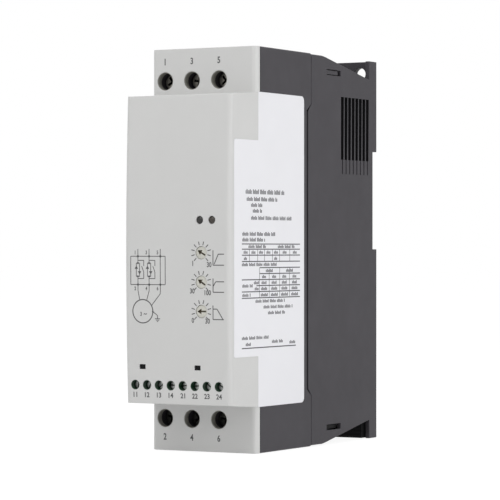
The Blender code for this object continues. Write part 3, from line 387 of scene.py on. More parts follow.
# Control transformer: it feeds the electronics, wound on a bobbin and soldered to the power board.
# Yellow tape is lapped round the winding, up its whole height.
def banded(name, scale, dark, light, start, end, gloss, depth, **settings):
    """A finish in bands across the height: laps of tape, or wires side by side."""
    material, shader, place, link = new_material(name)
    bands = pattern(material, place, "ShaderNodeTexWave", Scale=scale, bands_direction="Z", **settings)
    link(two_tones(material, bands, dark, light, start, end), shader.inputs["Base Color"])
    gloss_between(material, bands, shader, *gloss)
    relief(material, bands, shader, depth)
    return material


yellows = (0.52, 0.40, 0.06), (0.64, 0.52, 0.09)
laps = {"Distortion": 0.6, "wave_profile": "SAW"}
tape = banded("yellow_winding_tape", 55.0, *yellows, 0.0, 0.2, (0.32, 0.42), 0.00008, **laps)
dress_node("control_transformer", tape)


# Current bars: strips of tinned copper that carry the motor current, stamped and bent.
# Each runs from its terminal chamber back to the power board.
tinned = bare_metal("tinned_copper", (0.74, 0.71, 0.65), 0.3, streak=(1500.0, 300.0, 120.0))
power_terminals = [(end, pole) for end in ("line", "load") for pole in (1, 2, 3)]
for end, pole in power_terminals:
    dress_node(f"{end}_bar_{pole}", tinned)


# Middle housing: the second dark shell, with the six terminal chambers and the snap arms.
# It is moulded in the same polyamide as the rear housing and closes against its seam.
ARM_FRONT = 0.0150
ARM_TOP = 0.0080
bm = merged_copy("middle_housing")
break_edges(bm, HOUSING_ROUND)
# The faces of the snap arms in the lower windows take the black: painted shade, as the arms are moulded in
# the same dark grey.
for face in bm.faces:
    middle = face.calc_center_median()
    arm_in_painted_shade = abs(middle.x) > SIDE_WALLS and middle.y > ARM_FRONT and middle.z < ARM_TOP
    face.material_index = int(arm_in_painted_shade)
finished("middle_shell", bm, "housing", dark_grey, ["middle_housing"], inlay=black)


# Seam tongues: the lip inside each side wall of the middle housing that overlaps the rear one.
# It follows the seam and its two steps, lies in shadow, and is coloured black as painted shade, so that the
# seam shows as a dark line.
TONGUE_INNER = 0.0207
TONGUE_OUTER = 0.0212
TONGUE_ROUND = 0.00005
AT_ENDS = (0.00335, 0.00375)
BETWEEN_STEPS = (-0.0001, 0.0014)
LOWER_PATH = ((*AT_ENDS, 0.0006), (*AT_ENDS, 0.0194), (*BETWEEN_STEPS, 0.0220))


def only(parts, kind):
    """The verts, edges or faces among mixed parts of a mesh."""
    return [part for part in parts if isinstance(part, kind)]


def thickened(bm, way):
    """Gives flat faces a thickness and turns the skin outwards."""
    grown = bmesh.ops.extrude_face_region(bm, geom=bm.faces[:])["geom"]
    bmesh.ops.translate(bm, vec=way, verts=only(grown, bmesh.types.BMVert))
    bmesh.ops.recalc_face_normals(bm, faces=bm.faces)


tongue_path = [*LOWER_PATH, *((front, back, HEIGHT - z) for front, back, z in reversed(LOWER_PATH))]
for side, name in ((-1, "left"), (1, "right")):
    bm = bmesh.new()
    fronts = [bm.verts.new((side * TONGUE_INNER, front, z)) for front, back, z in tongue_path]
    backs = [bm.verts.new((side * TONGUE_INNER, back, z)) for front, back, z in tongue_path]
    for step in range(len(tongue_path) - 1):
        bm.faces.new((fronts[step], backs[step], backs[step + 1], fronts[step + 1]))
    thickened(bm, (side * (TONGUE_OUTER - TONGUE_INNER), 0, 0))
    break_edges(bm, TONGUE_ROUND)
    finished(f"seam_tongue_{name}", bm, "housing", black)


# Well collars: the chimneys of the middle housing that line the cover's six screw wells.
# They are part of the same moulding, and end just below the face of the terminal shelves.
COLLAR_STEPS = 48
WELL_COLLAR_OUTER = 0.00336
WELL_COLLAR_WALL = 0.00014
WELL_COLLAR_AHEAD = 0.0053
WELL_COLLAR_LENGTH = 0.0027


def round_node(node):
    """The axis at x and z, the front, the radius and the length of a node that is round about Y."""
    low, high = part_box(node)
    return (low.x + high.x) / 2, (low.z + high.z) / 2, low.y, (high.x - low.x) / 2, high.y - low.y


def spun(bm, verts, edges, steps):
    """Turns a line about Y into a closed skin."""
    about = {"cent": (0, 0, 0), "axis": (0, 1, 0), "angle": tau, "use_merge": True}
    bmesh.ops.spin(bm, geom=verts + edges, steps=steps, **about)
    bmesh.ops.remove_doubles(bm, verts=bm.verts, dist=1e-7)
    bmesh.ops.recalc_face_normals(bm, faces=bm.faces)


def collar(name, axis_x, axis_z, outer, wall, front, back, material):
    """A thin tube about an axis along Y."""
    bm = bmesh.new()
    profile = ((outer - wall, front), (outer, front), (outer, back), (outer - wall, back))
    corners = [bm.verts.new((radius, y, 0)) for radius, y in profile]
    edges = [bm.edges.new(pair) for pair in zip(corners, corners[1:] + corners[:1])]
    spun(bm, corners, edges, COLLAR_STEPS)
    bmesh.ops.translate(bm, vec=(axis_x, 0, axis_z), verts=bm.verts)
    finished(name, bm, "housing", material)


# Their warm grey is far lighter than the dark polyamide they are moulded in: painted light on the walls of
# the wells.
well_lining_painted_light = moulded_plastic("well_lining_painted_light", (0.25, 0.245, 0.22), 0.55, shine=0.35)
for end, pole in power_terminals:
    x, z, head = round_node(f"{end}_screw_{pole}")[:3]
    name = f"{end}_well_collar_{pole}"
    front = head - WELL_COLLAR_AHEAD
    back = front + WELL_COLLAR_LENGTH
    collar(name, x, z, WELL_COLLAR_OUTER, WELL_COLLAR_WALL, front, back, well_lining_painted_light)


# Lift clamps: box clamps bent from zinc plated steel strip, one in each terminal chamber.
# The screw draws the clamp forward and presses the wire against the current bar.
CLAMP_ROUND = 0.00025


def box_clamp(name, node, edge_round, metal):
    """A clamp with its edges broken, which moves with its own joint."""
    bm = merged_copy(node)
    break_edges(bm, edge_round)
    finished(name, bm, node, metal, [node])


zinc = bare_metal("zinc_plated_strip", (0.66, 0.67, 0.66), 0.3, streak=(500.0, 1400.0, 500.0))
for end, pole in power_terminals:
    box_clamp(f"{end}_lift_clamp_{pole}", f"{end}_clamp_{pole}", CLAMP_ROUND, zinc)


# Power terminal screws: turned steel, with a cross recess in the head and a rolled thread.
# All are passivated, and the load side's are coloured near black as painted shade in their wells.
# Each is held in its well by the ledge below its head and turns in the clamp's front plate.
HEAD_SEGMENTS = 40
HEAD_HEIGHT = 0.0025
HEAD_CHAMFER = 0.00035
HEAD_LOWER_CHAMFER = 0.0001
THREAD_CREST = 0.0020
THREAD_PITCH = 0.0007
THREAD_RISE = 0.45 * THREAD_PITCH
THREAD_DEPTH = 0.00022
PLAIN_SHANK = 0.0017
TIP_CHAMFER = 0.0005
TIP_ROOM = 0.0003
TURN_BETWEEN = 0.7
RECESS_DEPTH = 0.0012
RECESS_ARM = 0.0022
RECESS_HALF = 0.00046
RECESS_DRAFT = 0.6


def set_in_place(bm, axis_x, front, axis_z, turn):
    """Turns a piece about its own Y axis and moves it to its place."""
    place = Matrix.Translation((axis_x, front, axis_z)) @ Matrix.Rotation(turn, 4, "Y")
    bmesh.ops.transform(bm, matrix=place, verts=bm.verts)


def recessed_face(bm, radius, outline, depth, draft):
    """A round face at y = 0 with a sunk shape, and returns the edges of its rim."""
    rim_edges = circle(bm, (0, 0, 0), radius, HEAD_SEGMENTS)
    corners = [bm.verts.new((u, 0, v)) for u, v in outline]
    shape_edges = [bm.edges.new(pair) for pair in zip(corners, corners[1:] + corners[:1])]
    bmesh.ops.triangle_fill(bm, use_beauty=True, use_dissolve=False, edges=rim_edges + shape_edges)
    sunk = bmesh.ops.extrude_edge_only(bm, edges=shape_edges)["geom"]
    sunk_verts = only(sunk, bmesh.types.BMVert)
    sunk_edges = [edge for edge in only(sunk, bmesh.types.BMEdge) if edge.is_boundary]
    middle = sum((vert.co for vert in sunk_verts), Vector()) / len(sunk_verts)
    bmesh.ops.scale(bm, vec=(draft, 1, draft), verts=sunk_verts, space=Matrix.Translation(-middle))
    bmesh.ops.translate(bm, vec=(0, depth, 0), verts=sunk_verts)
    floor = bmesh.ops.holes_fill(bm, edges=sunk_edges, sides=len(sunk_edges))["faces"]
    # The sunk faces take the second material: painted shade in the screws' cross recesses, and brown with
    # painted shade in the dials' arrows.
    for face in floor + only(sunk, bmesh.types.BMFace):
        face.material_index = 1
    return rim_edges


def draw_back(bm, rim_edges, profile):
    """Carries a rim through the (radius, y) steps of a turned profile and closes its end."""
    for radius, y in profile:
        drawn = bmesh.ops.extrude_edge_only(bm, edges=rim_edges)["geom"]
        rim_edges = [edge for edge in only(drawn, bmesh.types.BMEdge) if edge.is_boundary]
        for vert in only(drawn, bmesh.types.BMVert):
            flat = Vector((vert.co.x, 0, vert.co.z)).normalized() * radius
            vert.co = (flat.x, y, flat.z)
    bmesh.ops.holes_fill(bm, edges=rim_edges, sides=len(rim_edges))
    bmesh.ops.recalc_face_normals(bm, faces=bm.faces)


def thread(crest, depth, pitch, rise, start, end):
    """The (radius, y) steps of as many turns of a rolled thread as fit before an end."""
    steps = []
    y = start
    while y + pitch < end:
        steps += [(crest - depth, y), (crest, y + rise), (crest, y + pitch - rise)]
        y += pitch
    return steps


def cross_outline(half, arm):
    """The corners of a cross recess, a quarter at a time."""
    points = []
    for quarter in range(4):
        turn = quarter * pi / 2
        for u, v in ((half, half), (half, arm), (-half, arm)):
            points.append((u * cos(turn) - v * sin(turn), u * sin(turn) + v * cos(turn)))
    return points


passivated = bare_metal("passivated_steel", (0.40, 0.38, 0.34), 0.34, shade=0.6)
# The load side's screws are coloured near black: painted shade in their wells.
load_steel_painted_shade = bare_metal("passivated_steel_in_painted_shade", (0.055, 0.055, 0.050), 0.4, shade=0.6)
# The faces of the cross recesses are coloured near black: painted shade in the recesses.
recess_painted_shade = bare_metal("recess_painted_shade", (0.020, 0.019, 0.018), 0.5, shade=0.6)
steels = {"line": (radians(20), passivated), "load": (radians(65), load_steel_painted_shade)}
root = THREAD_CREST - THREAD_DEPTH
for end, pole in power_terminals:
    turn, steel = steels[end]
    node = f"{end}_screw_{pole}"
    x, z, front, radius, length = round_node(node)
    bm = bmesh.new()
    cross = cross_outline(RECESS_HALF, RECESS_ARM)
    rim = recessed_face(bm, radius - HEAD_CHAMFER, cross, RECESS_DEPTH, RECESS_DRAFT)
    start, stop = HEAD_HEIGHT + PLAIN_SHANK, length - TIP_ROOM
    turns = thread(THREAD_CREST, THREAD_DEPTH, THREAD_PITCH, THREAD_RISE, start, stop)
    profile = [
        (radius, HEAD_CHAMFER),
        (radius, HEAD_HEIGHT - HEAD_LOWER_CHAMFER),
        (radius - HEAD_LOWER_CHAMFER, HEAD_HEIGHT),
        (root, HEAD_HEIGHT),
        *turns,
        (root, turns[-1][1] + THREAD_RISE),
        (THREAD_CREST - TIP_CHAMFER, length),
    ]
    draw_back(bm, rim, profile)
    set_in_place(bm, x, front, z, turn + pole * TURN_BETWEEN)
    name = f"{end}_terminal_screw_{pole}"
    finished(name, bm, node, steel, [node], inlay=recess_painted_shade)


# Board ribbon: the flat cable between the two boards, soldered at both.
# Its wires are moulded side by side in grey plastic.
grey_bands = (0.20, 0.21, 0.23), (0.33, 0.34, 0.36)
ribbon = banded("grey_flat_cable", 250.0, *grey_bands, 0.3, 0.7, (0.45, 0.6), 0.0002, Distortion=0.0)
dress_node("board_ribbon", ribbon)


# Control board: it stands behind the front and carries two output relays in orange cases and
# the three blue trimmers that the dials turn, all soldered on.
orange = moulded_plastic("orange_relay_case", (0.52, 0.17, 0.035), 0.4, grain=3200.0, depth=0.00001)
blue = moulded_plastic("blue_trimmer_case", (0.02, 0.08, 0.26), 0.4, grain=3200.0, depth=0.00001)
dress_node("control_board", lacquered)
for number in (1, 2):
    dress_node(f"output_relay_{number}", orange)
SETTINGS = ("start_time", "start_voltage", "stop_time")
for setting in SETTINGS:
    dress_node(f"{setting}_pot", blue)


# Dials: cream trimmer rotors with a sunk arrow, which a small screwdriver turns.
# Each is moulded in one piece with its stem, and the sunk arrow is brown, darkened as painted shade in the
# recess.
ARROW_DEPTH = 0.0009
ARROW_DRAFT = 0.9
ARROW_NECK = 0.0001
ARROW_REACH = 0.80
ARROW_HALF = 0.00030
ARROW_HEAD_HALF = 0.00105
DIAL_GROWN = 0.00005
DIAL_CHAMFER = 0.0002
STEM_RADIUS = 0.0010
STEM_LENGTH = 0.0015
cream = moulded_plastic("cream_rotor", (0.57, 0.565, 0.51), 0.4, grain=3400.0, depth=0.000008, mottle=0.04)
# The arrow's brown is darkened: painted shade in the sunk arrow.
brown = moulded_plastic("brown_arrow_and_painted_shade", (0.100, 0.082, 0.050), 0.5, grain=3400.0, depth=0.000008)
for setting, pointing in zip(SETTINGS, (61, 57, 90)):
    node = f"{setting}_dial"
    x, z, front, radius, length = round_node(node)
    radius += DIAL_GROWN
    tip = radius * ARROW_REACH
    arrow = [
        (-ARROW_HALF, -tip),
        (ARROW_HALF, -tip),
        (ARROW_HALF, ARROW_NECK),
        (ARROW_HEAD_HALF, ARROW_NECK),
        (0, tip),
        (-ARROW_HEAD_HALF, ARROW_NECK),
        (-ARROW_HALF, ARROW_NECK),
    ]
    bm = bmesh.new()
    rim = recessed_face(bm, radius - DIAL_CHAMFER, arrow, ARROW_DEPTH, ARROW_DRAFT)
    profile = [
        (radius - 0.3 * DIAL_CHAMFER, 0.3 * DIAL_CHAMFER),
        (radius, DIAL_CHAMFER),
        (radius, length - STEM_LENGTH),
        (STEM_RADIUS, length - STEM_LENGTH),
        (STEM_RADIUS, length),
    ]
    draw_back(bm, rim, profile)
    set_in_place(bm, x, front, z, -radians(pointing))
    finished(f"{setting}_rotor", bm, node, cream, [node], inlay=brown)


# Control terminal block: one green moulding with the contact strips of all eight terminals.
# It is soldered to the control board, and its face shows in the eight holes of the cover.
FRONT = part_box("front_cover")[0].y
SHELF_FACE = -0.0393
NOSE_END = 0.01725
END_SLOPE = 0.0013
END_ZONE = 0.0022
BLOCK_ROUND = 0.0001
green = moulded_plastic("green_terminal_block", (0.008, 0.052, 0.022), 0.4, grain=3000.0, depth=0.00001)


def sloped_end(spot):
    """The height of a place at the ends of the raised front, which slope a little to the front."""
    ahead = (SHELF_FACE - spot.y) / (SHELF_FACE - FRONT)
    above = spot.z - HEIGHT / 2
    if ahead <= 0 or abs(above) < HEIGHT / 2 - NOSE_END - END_ZONE:
        return spot.z
    return spot.z - copysign(END_SLOPE * ahead, above)


bm = merged_copy("control_terminal_block")
for vert in bm.verts:
    vert.co.z = sloped_end(vert.co)
break_edges(bm, BLOCK_ROUND)
finished("terminal_block", bm, "housing", green, ["control_terminal_block"])


# Control collars: the rims of the block's eight screw holes, thin tubes of the same moulding.
# They reach forward into the holes of the cover.
CONTROL_COLLAR_OUTER = 0.00175
CONTROL_COLLAR_WALL = 0.0001
CONTROL_COLLAR_AHEAD = 0.0023
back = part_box("control_terminal_block")[0].y
for number in range(1, 9):
    x, z, head = round_node(f"control_screw_{number}")[:3]
    name = f"control_collar_{number}"
    front = head - CONTROL_COLLAR_AHEAD
    collar(name, x, z, CONTROL_COLLAR_OUTER, CONTROL_COLLAR_WALL, front, back, green)


# Control terminal clamps and screws: small box clamps and slotted screws, bright zinc plated.
# The slots stand at the angles in which the last screwdriver left them.
SLOT_ANGLES = (8, 20, 52, 96, 84, 88, 128, 118)
SLOT_HALF = 0.00027
SLOT_DEPTH = 0.0007
SLOT_OVERLAP = 0.00005
SMALL_CLAMP_ROUND = 0.00012
SMALL_HEAD_CHAMFER = 0.00012
SMALL_HEAD_HEIGHT = 0.0013
SMALL_CREST = 0.00105
SMALL_THREAD_DEPTH = 0.00015
SMALL_PITCH = 0.00045
SMALL_RISE = 0.0002
SMALL_THREAD_START = 0.0020
SMALL_TIP_ROOM = 0.0001
SMALL_TIP_CHAMFER = 0.0002
bright_zinc = bare_metal("bright_zinc", (0.60, 0.61, 0.60), 0.30, streak=(700.0, 700.0, 700.0), shade=0.7)
# The slot floors are coloured dark: painted shade in the slots.
slot_floor_painted_shade = bare_metal("slot_floor_painted_shade", (0.07, 0.07, 0.065), 0.5, shade=0.6)


def half_head(radius, half_turn):
    """The part of a slotted head on one side of its slot."""
    bm = bmesh.new()
    tall = SLOT_DEPTH + SLOT_OVERLAP
    bmesh.ops.create_cone(
        bm,
        cap_ends=True,
        segments=HEAD_SEGMENTS,
        radius1=radius,
        radius2=radius - SMALL_HEAD_CHAMFER,
        depth=tall,
        matrix=Matrix.Translation((0, tall / 2, 0)) @ Matrix.Rotation(pi / 2, 4, "X"),
    )
    whole = bm.verts[:] + bm.edges[:] + bm.faces[:]
    beside = {"plane_co": (SLOT_HALF, 0, 0), "plane_no": (1, 0, 0)}
    bmesh.ops.bisect_plane(bm, geom=whole, clear_inner=True, **beside)
    bmesh.ops.holes_fill(bm, edges=[edge for edge in bm.edges if edge.is_boundary])
    bmesh.ops.rotate(bm, matrix=Matrix.Rotation(half_turn, 3, "Y"), verts=bm.verts)
    bmesh.ops.recalc_face_normals(bm, faces=bm.faces)
    return bm


def slotted_body(radius, length):
    """The screw below its slot, whose floor is coloured dark as painted shade."""
    bm = bmesh.new()
    rim_edges = circle(bm, (0, SLOT_DEPTH, 0), radius, HEAD_SEGMENTS, filled=True)
    end = length - SMALL_TIP_ROOM
    turns = thread(SMALL_CREST, SMALL_THREAD_DEPTH, SMALL_PITCH, SMALL_RISE, SMALL_THREAD_START, end)
    head_back = [(radius, SMALL_HEAD_HEIGHT), (SMALL_CREST, SMALL_HEAD_HEIGHT)]
    draw_back(bm, rim_edges, [*head_back, *turns, (SMALL_CREST - SMALL_TIP_CHAMFER, length)])
    for face in bm.faces:
        face.material_index = int(face.calc_center_median().y < SLOT_DEPTH + 1e-6)
    return bm


for number, slot_angle in enumerate(SLOT_ANGLES, start=1):
    clamp_name = f"control_lift_clamp_{number}"
    box_clamp(clamp_name, f"control_clamp_{number}", SMALL_CLAMP_ROUND, bright_zinc)
    node = f"control_screw_{number}"
    x, z, front, radius, length = round_node(node)
    bm = bmesh.new()
    for part in (half_head(radius, 0), half_head(radius, pi), slotted_body(radius, length)):
        joined(bm, part)
    set_in_place(bm, x, front, z, radians(slot_angle))
    name = f"control_terminal_screw_{number}"
    finished(name, bm, node, bright_zinc, [node], inlay=slot_floor_painted_shade)


# Front cover: the light grey shell with the raised front and both terminal shelves.
# It is moulded in polycarbonate, a little glossier than the housings, and clips on last.
HALF_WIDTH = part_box("front_cover")[1].x
PRINT_ROOM = 0.00002
NOSE_BULGE = 0.0014
FACETS = 8
BANDS = 64
SKIN = 0.0050
NOSE_FLAT = 0.0206
WALL_DEPTH = 0.0036
WALL_HALF_WIDTH = 0.0204
WALL_HALF_HEIGHT = 0.0565
COVER_ROUND = 0.00022
HOLE_ROUND = 0.00008
HOLE_EDGE = 0.00005
DIAL_HOLE = 0.00255
DIAL_HOLE_SEEN = 0.00240
LIGHT_HOLE = 0.00185
LIGHT_HOLE_SEEN = 0.00150
LABEL_EDGE = -0.0554
LABEL_AHEAD = 0.0008
LABEL_STEP_TOP = 0.1147
LABEL_ABOVE = 0.0007
light_grey = moulded_plastic("light_grey_polycarbonate", (0.60, 0.60, 0.593), 0.46, mottle=0.015)


def bulge(z):
    """How far the front falls back at a height, as a smooth arc and as the node's facets."""
    half = HEIGHT / 2 - NOSE_END
    share = (z - HEIGHT / 2) / half
    step = (share + 1) / 2 * FACETS
    low = min(FACETS - 1, max(0, int(step)))
    ends = [(2 * edge / FACETS - 1) ** 2 for edge in (low, low + 1)]
    return NOSE_BULGE * share * share, NOSE_BULGE * (ends[0] + (ends[1] - ends[0]) * (step - low))


def drawn_in(bm, node, was, now):
    """Draws the round hole in front of a node in to a smaller radius."""
    axis = Vector(round_node(node)[:2])
    for vert in bm.verts:
        out = Vector((vert.co.x, vert.co.z)) - axis
        if vert.co.y < FRONT + SKIN and out.length < was + HOLE_EDGE:
            out *= now / was
            slope = bulge(axis.y + out.y)[1] - bulge(vert.co.z)[1]
            vert.co = (axis.x + out.x, vert.co.y + slope, axis.y + out.y)


def in_front_wall(edge):
    """Whether an edge is one of an opening in the raised front."""
    return all(
        abs(vert.co.x) < WALL_HALF_WIDTH
        and vert.co.y < FRONT + WALL_DEPTH
        and abs(vert.co.z - HEIGHT / 2) < WALL_HALF_HEIGHT
        for vert in edge.verts
    )


bm = merged_copy("front_cover")
for setting in SETTINGS:
    drawn_in(bm, f"{setting}_dial", DIAL_HOLE, DIAL_HOLE_SEEN)
for node in ("run_light", "fault_light"):
    drawn_in(bm, node, LIGHT_HOLE, LIGHT_HOLE_SEEN)
for vert in bm.verts:
    in_recess = vert.co.x > HALF_WIDTH - 0.0002
    if in_recess and abs(vert.co.y - LABEL_EDGE) < 0.00002:
        vert.co.y -= LABEL_AHEAD
    if in_recess and abs(vert.co.z - LABEL_STEP_TOP) < 0.00002:
        vert.co.z += LABEL_ABOVE
break_edges(bm, COVER_ROUND, lambda edge: not in_front_wall(edge))
break_edges(bm, HOLE_ROUND, in_front_wall)
for band in range(1, BANDS):
    z = NOSE_END + (HEIGHT - 2 * NOSE_END) * band / BANDS
    front_faces = [face for face in bm.faces if min(vert.co.y for vert in face.verts) < FRONT + SKIN]
    parts = {part for face in front_faces for part in (*face.verts, *face.edges, face)}
    bmesh.ops.bisect_plane(bm, geom=list(parts), dist=1e-6, plane_co=(0, 0, z), plane_no=(0, 0, 1))
bmesh.ops.remove_doubles(bm, verts=bm.verts, dist=0.00001)
bmesh.ops.dissolve_degenerate(bm, edges=bm.edges, dist=1e-7)
for vert in bm.verts:
    faceted = bulge(vert.co.z)[1]
    vert.co.z = sloped_end(vert.co)
    if vert.co.y < FRONT + SKIN:
        smooth = bulge(vert.co.z)[0]
        if abs(vert.co.x) < NOSE_FLAT and abs(vert.co.y - FRONT - faceted) < 0.00001:
            vert.co.y = FRONT + smooth + PRINT_ROOM
        else:
            vert.co.y += smooth - faceted + PRINT_ROOM
front_surface = BVHTree.FromBMesh(bm)
finished("cover_shell", bm, "housing", light_grey, ["front_cover"])


# Cover catches: two black hooks that hold the cover at its lower end.
# Their noses stand in the two slots above the control terminals, just below the face.
CATCHES = (-0.0150, 0.0084)
CATCH_Z = 0.0320
CATCH_SIZE = (0.00256, 0.0013, 0.00176)
CATCH_BELOW = 0.00035
CATCH_ROUND = 0.00012
for number, x in enumerate(CATCHES, start=1):
    bm = bmesh.new()
    y = FRONT + bulge(CATCH_Z)[0] + CATCH_BELOW + CATCH_SIZE[1] / 2
    block(bm, (x, y, CATCH_Z), CATCH_SIZE)
    break_edges(bm, CATCH_ROUND)
    finished(f"cover_catch_{number}", bm, "housing", black)


# Lights: two light guides of clear brown plastic that bring the light of the board to the front.
# They are pushed into the cover and end in a low dome.
LENS_RADIUS = 0.00143
DOME_HEIGHT = 0.0005
DOME_STEPS = 8
LENS_STEPS = 36
for node, tint in (("run_light", (0.024, 0.024, 0.023)), ("fault_light", (0.046, 0.038, 0.031))):
    smoked = moulded_plastic(node + "_plastic", tint, 0.2, grain=1800.0, depth=0.000002, shine=0.4)
    x, z, front, _, length = round_node(node)
    bm = bmesh.new()
    turns = [pi / 2 * step / DOME_STEPS for step in range(DOME_STEPS + 1)]
    points = [(LENS_RADIUS * sin(turn), DOME_HEIGHT * (1 - cos(turn))) for turn in turns]
    points += [(LENS_RADIUS, length), (0.0, length)]
    line = [bm.verts.new((r, y, 0)) for r, y in points]
    spun(bm, line, [bm.edges.new(pair) for pair in zip(line, line[1:])], LENS_STEPS)
    bmesh.ops.translate(bm, vec=(x, front, z), verts=bm.verts)
    finished(node + "_lens", bm, "housing", smoked, [node], smooth_below=60)


# Side label: an L-shaped white film, glued into the shallow place that the cover and the
# middle housing leave for it. It is put on once the cover is closed.
FILM_UNDER = HALF_WIDTH - 0.00011
FILM_OVER = HALF_WIDTH - 0.00003
FILM_OUTLINE = (
    (-0.03805, 0.01715),
    (-0.00235, 0.01715),
    (-0.00235, 0.13315),
    (-0.03805, 0.13315),
    (-0.03805, 0.11525),
    (-0.05605, 0.11525),
    (-0.05605, 0.03585),
    (-0.03805, 0.03585),
)
FILM_REAR = -0.0030
FILM_REAR_ROUND = 0.00185
FILM_FRONT = -0.0500
FILM_FRONT_ROUND = 0.0009
CORNER_STEPS = 6


def label_film(name, colour):
    """White plastic film: an even tone under a slightly wavy gloss."""
    material, shader, place, link = new_material(name)
    clouds = pattern(material, place, "ShaderNodeTexNoise", Scale=90.0, Detail=5.0)
    dark = [channel * 0.985 for channel in colour]
    link(two_tones(material, clouds, dark, colour), shader.inputs["Base Color"])
    gloss_between(material, clouds, shader, 0.34, 0.44)
    waves = pattern(material, place, "ShaderNodeTexNoise", Scale=1400.0, Detail=1.0)
    relief(material, waves, shader, 0.000004)
    return material


def round_uprights(bm, chosen, radius):
    """Rounds corners of the film that stand along X."""
    uprights = [edge for edge in bm.edges if abs(edge.verts[0].co.x - edge.verts[1].co.x) > 1e-6]
    rounded(bm, [edge for edge in uprights if chosen(edge.verts[0].co)], radius, CORNER_STEPS)


bm = bmesh.new()
bm.faces.new([bm.verts.new((FILM_UNDER, y, z)) for y, z in FILM_OUTLINE])
thickened(bm, (FILM_OVER - FILM_UNDER, 0, 0))
round_uprights(bm, lambda corner: corner.y > FILM_REAR, FILM_REAR_ROUND)
round_uprights(bm, lambda corner: corner.y < FILM_FRONT, FILM_FRONT_ROUND)
white_film = label_film("white_film", (0.80, 0.80, 0.83))
finished("side_label", bm, "housing", white_film)


# Label print: the rules of the two tables, and rows of small blocks in place of words.
# It is printed on the film in one pass of dark grey ink, before the film is put on.
RULE_HALF = 0.00019
PRINT_OVER = HALF_WIDTH - 0.00001
FULL_RULES = (0.0771, 0.0752, 0.0730, 0.0707, 0.0640, 0.0596, 0.0573)
SHORT_RULES = ((0.0684, -0.0371), (0.0662, -0.0371), (0.0618, -0.0395))
UPPER_COLUMNS = (-0.0448, -0.0386, -0.0334, -0.0273, -0.0218, -0.0138)
LOWER_COLUMNS = (-0.0372, -0.0298, -0.0217, -0.0140)
COLUMN_HALF = 0.00013
UPPER_TABLE = (0.0707, 0.0752)
LOWER_TABLE = (0.0573, 0.0684)
RULE_LEFT = -0.0504
RULE_RIGHT = -0.0057
LAST_RULE = (-0.0090, 0.0390, 0.0002)


def ink(name, colour):
    """Pad or screen print: slightly uneven cover, flat over its ground."""
    material, shader, place, link = new_material(name)
    cover = pattern(material, place, "ShaderNodeTexNoise", Scale=700.0, Detail=3.0)
    light = [min(1, channel * 1.25 + 0.01) for channel in colour]
    link(two_tones(material, cover, colour, light), shader.inputs["Base Color"])
    gloss_between(material, cover, shader, 0.45, 0.58)
    relief(material, cover, shader, 0.000002)
    return material


def side_mark(bm, y_low, y_high, z_low, z_high):
    """A printed bar on the film."""
    corners = ((y_low, z_low), (y_high, z_low), (y_high, z_high), (y_low, z_high))
    bm.faces.new([bm.verts.new((FILM_OVER, y, z)) for y, z in corners])


def printed_layer(name, bm, lift, material):
    """Gives flat print its small height and makes it a piece."""
    thickened(bm, lift)
    finished(name, bm, "housing", material)


rules = bmesh.new()
for z in FULL_RULES:
    side_mark(rules, RULE_LEFT, RULE_RIGHT, z - RULE_HALF, z + RULE_HALF)
for z, left in SHORT_RULES:
    side_mark(rules, left, RULE_RIGHT, z - RULE_HALF, z + RULE_HALF)
for columns, table in ((UPPER_COLUMNS, UPPER_TABLE), (LOWER_COLUMNS, LOWER_TABLE)):
    for y in columns:
        side_mark(rules, y - COLUMN_HALF, y + COLUMN_HALF, *table)
right, z, half = LAST_RULE
side_mark(rules, RULE_LEFT, right, z - half, z + half)
label_ink = ink("label_ink", (0.045, 0.045, 0.050))
printed_layer("label_rules", rules, (PRINT_OVER - FILM_OVER, 0, 0), label_ink)

BLOCK_PITCH = 0.00078
BLOCK_WIDTH = 0.00052
FINE_HEIGHT = 0.0012
LOW_SHARE = 0.75
SHORT_ROW = 0.0060


def small_blocks(left, right, z, tall=FINE_HEIGHT):
    """One row of plain blocks, high and low ones, with a gap at each seventh of a long row."""
    y = left
    count = 0
    while y + BLOCK_WIDTH < right:
        count += 1
        if count % 7 or right - left < SHORT_ROW:
            reach = tall * (1.0 if count * 5 % 8 < 4 else LOW_SHARE)
            side_mark(blocks, y, y + BLOCK_WIDTH, z - tall / 2, z - tall / 2 + reach)
        y += BLOCK_PITCH


def blocks_in_cells(borders, z, half_length, cells=None):
    """A row of blocks in the middle of each cell between the borders."""
    for cell, (left, right) in enumerate(zip(borders, borders[1:])):
        if cells is None or cell in cells:
            middle = (left + right) / 2
            small_blocks(middle - half_length, middle + half_length, z)


blocks = bmesh.new()
small_blocks(-0.0476, -0.0176, 0.0963, 0.0017)
small_blocks(-0.0468, -0.0231, 0.0936, 0.0015)
small_blocks(-0.0435, -0.0350, 0.0914, 0.0014)
small_blocks(-0.0422, -0.0350, 0.0893, 0.0014)
small_blocks(-0.0435, -0.0120, 0.0867, 0.0014)
small_blocks(-0.0500, -0.0247, 0.0808, 0.0014)
small_blocks(-0.0500, -0.0324, 0.0787, 0.0014)
for left, right, z in (
    (-0.0504, -0.0234, 0.0696),
    (-0.0414, -0.0375, 0.0629),
    (-0.0500, -0.0421, 0.0618),
    (-0.0408, -0.0379, 0.0607),
    (-0.0500, -0.0433, 0.0584),
    (-0.0402, -0.0173, 0.0561),
    (-0.0341, -0.0116, 0.0539),
    (-0.0307, -0.0173, 0.0517),
    (-0.0504, -0.0298, 0.0427),
    (-0.0277, -0.0191, 0.0410),
    (-0.0140, -0.0090, 0.0404),
    (-0.0475, -0.0436, 0.0404),
):
    small_blocks(left, right, z)
upper_borders = (RULE_LEFT, *UPPER_COLUMNS, RULE_RIGHT)
lower_borders = (*LOWER_COLUMNS, RULE_RIGHT)
blocks_in_cells((RULE_LEFT, UPPER_COLUMNS[3], RULE_RIGHT), 0.0762, 0.0066)
blocks_in_cells(upper_borders, 0.0741, 0.0015)
blocks_in_cells(upper_borders, 0.0718, 0.0013, cells=(0, 4))
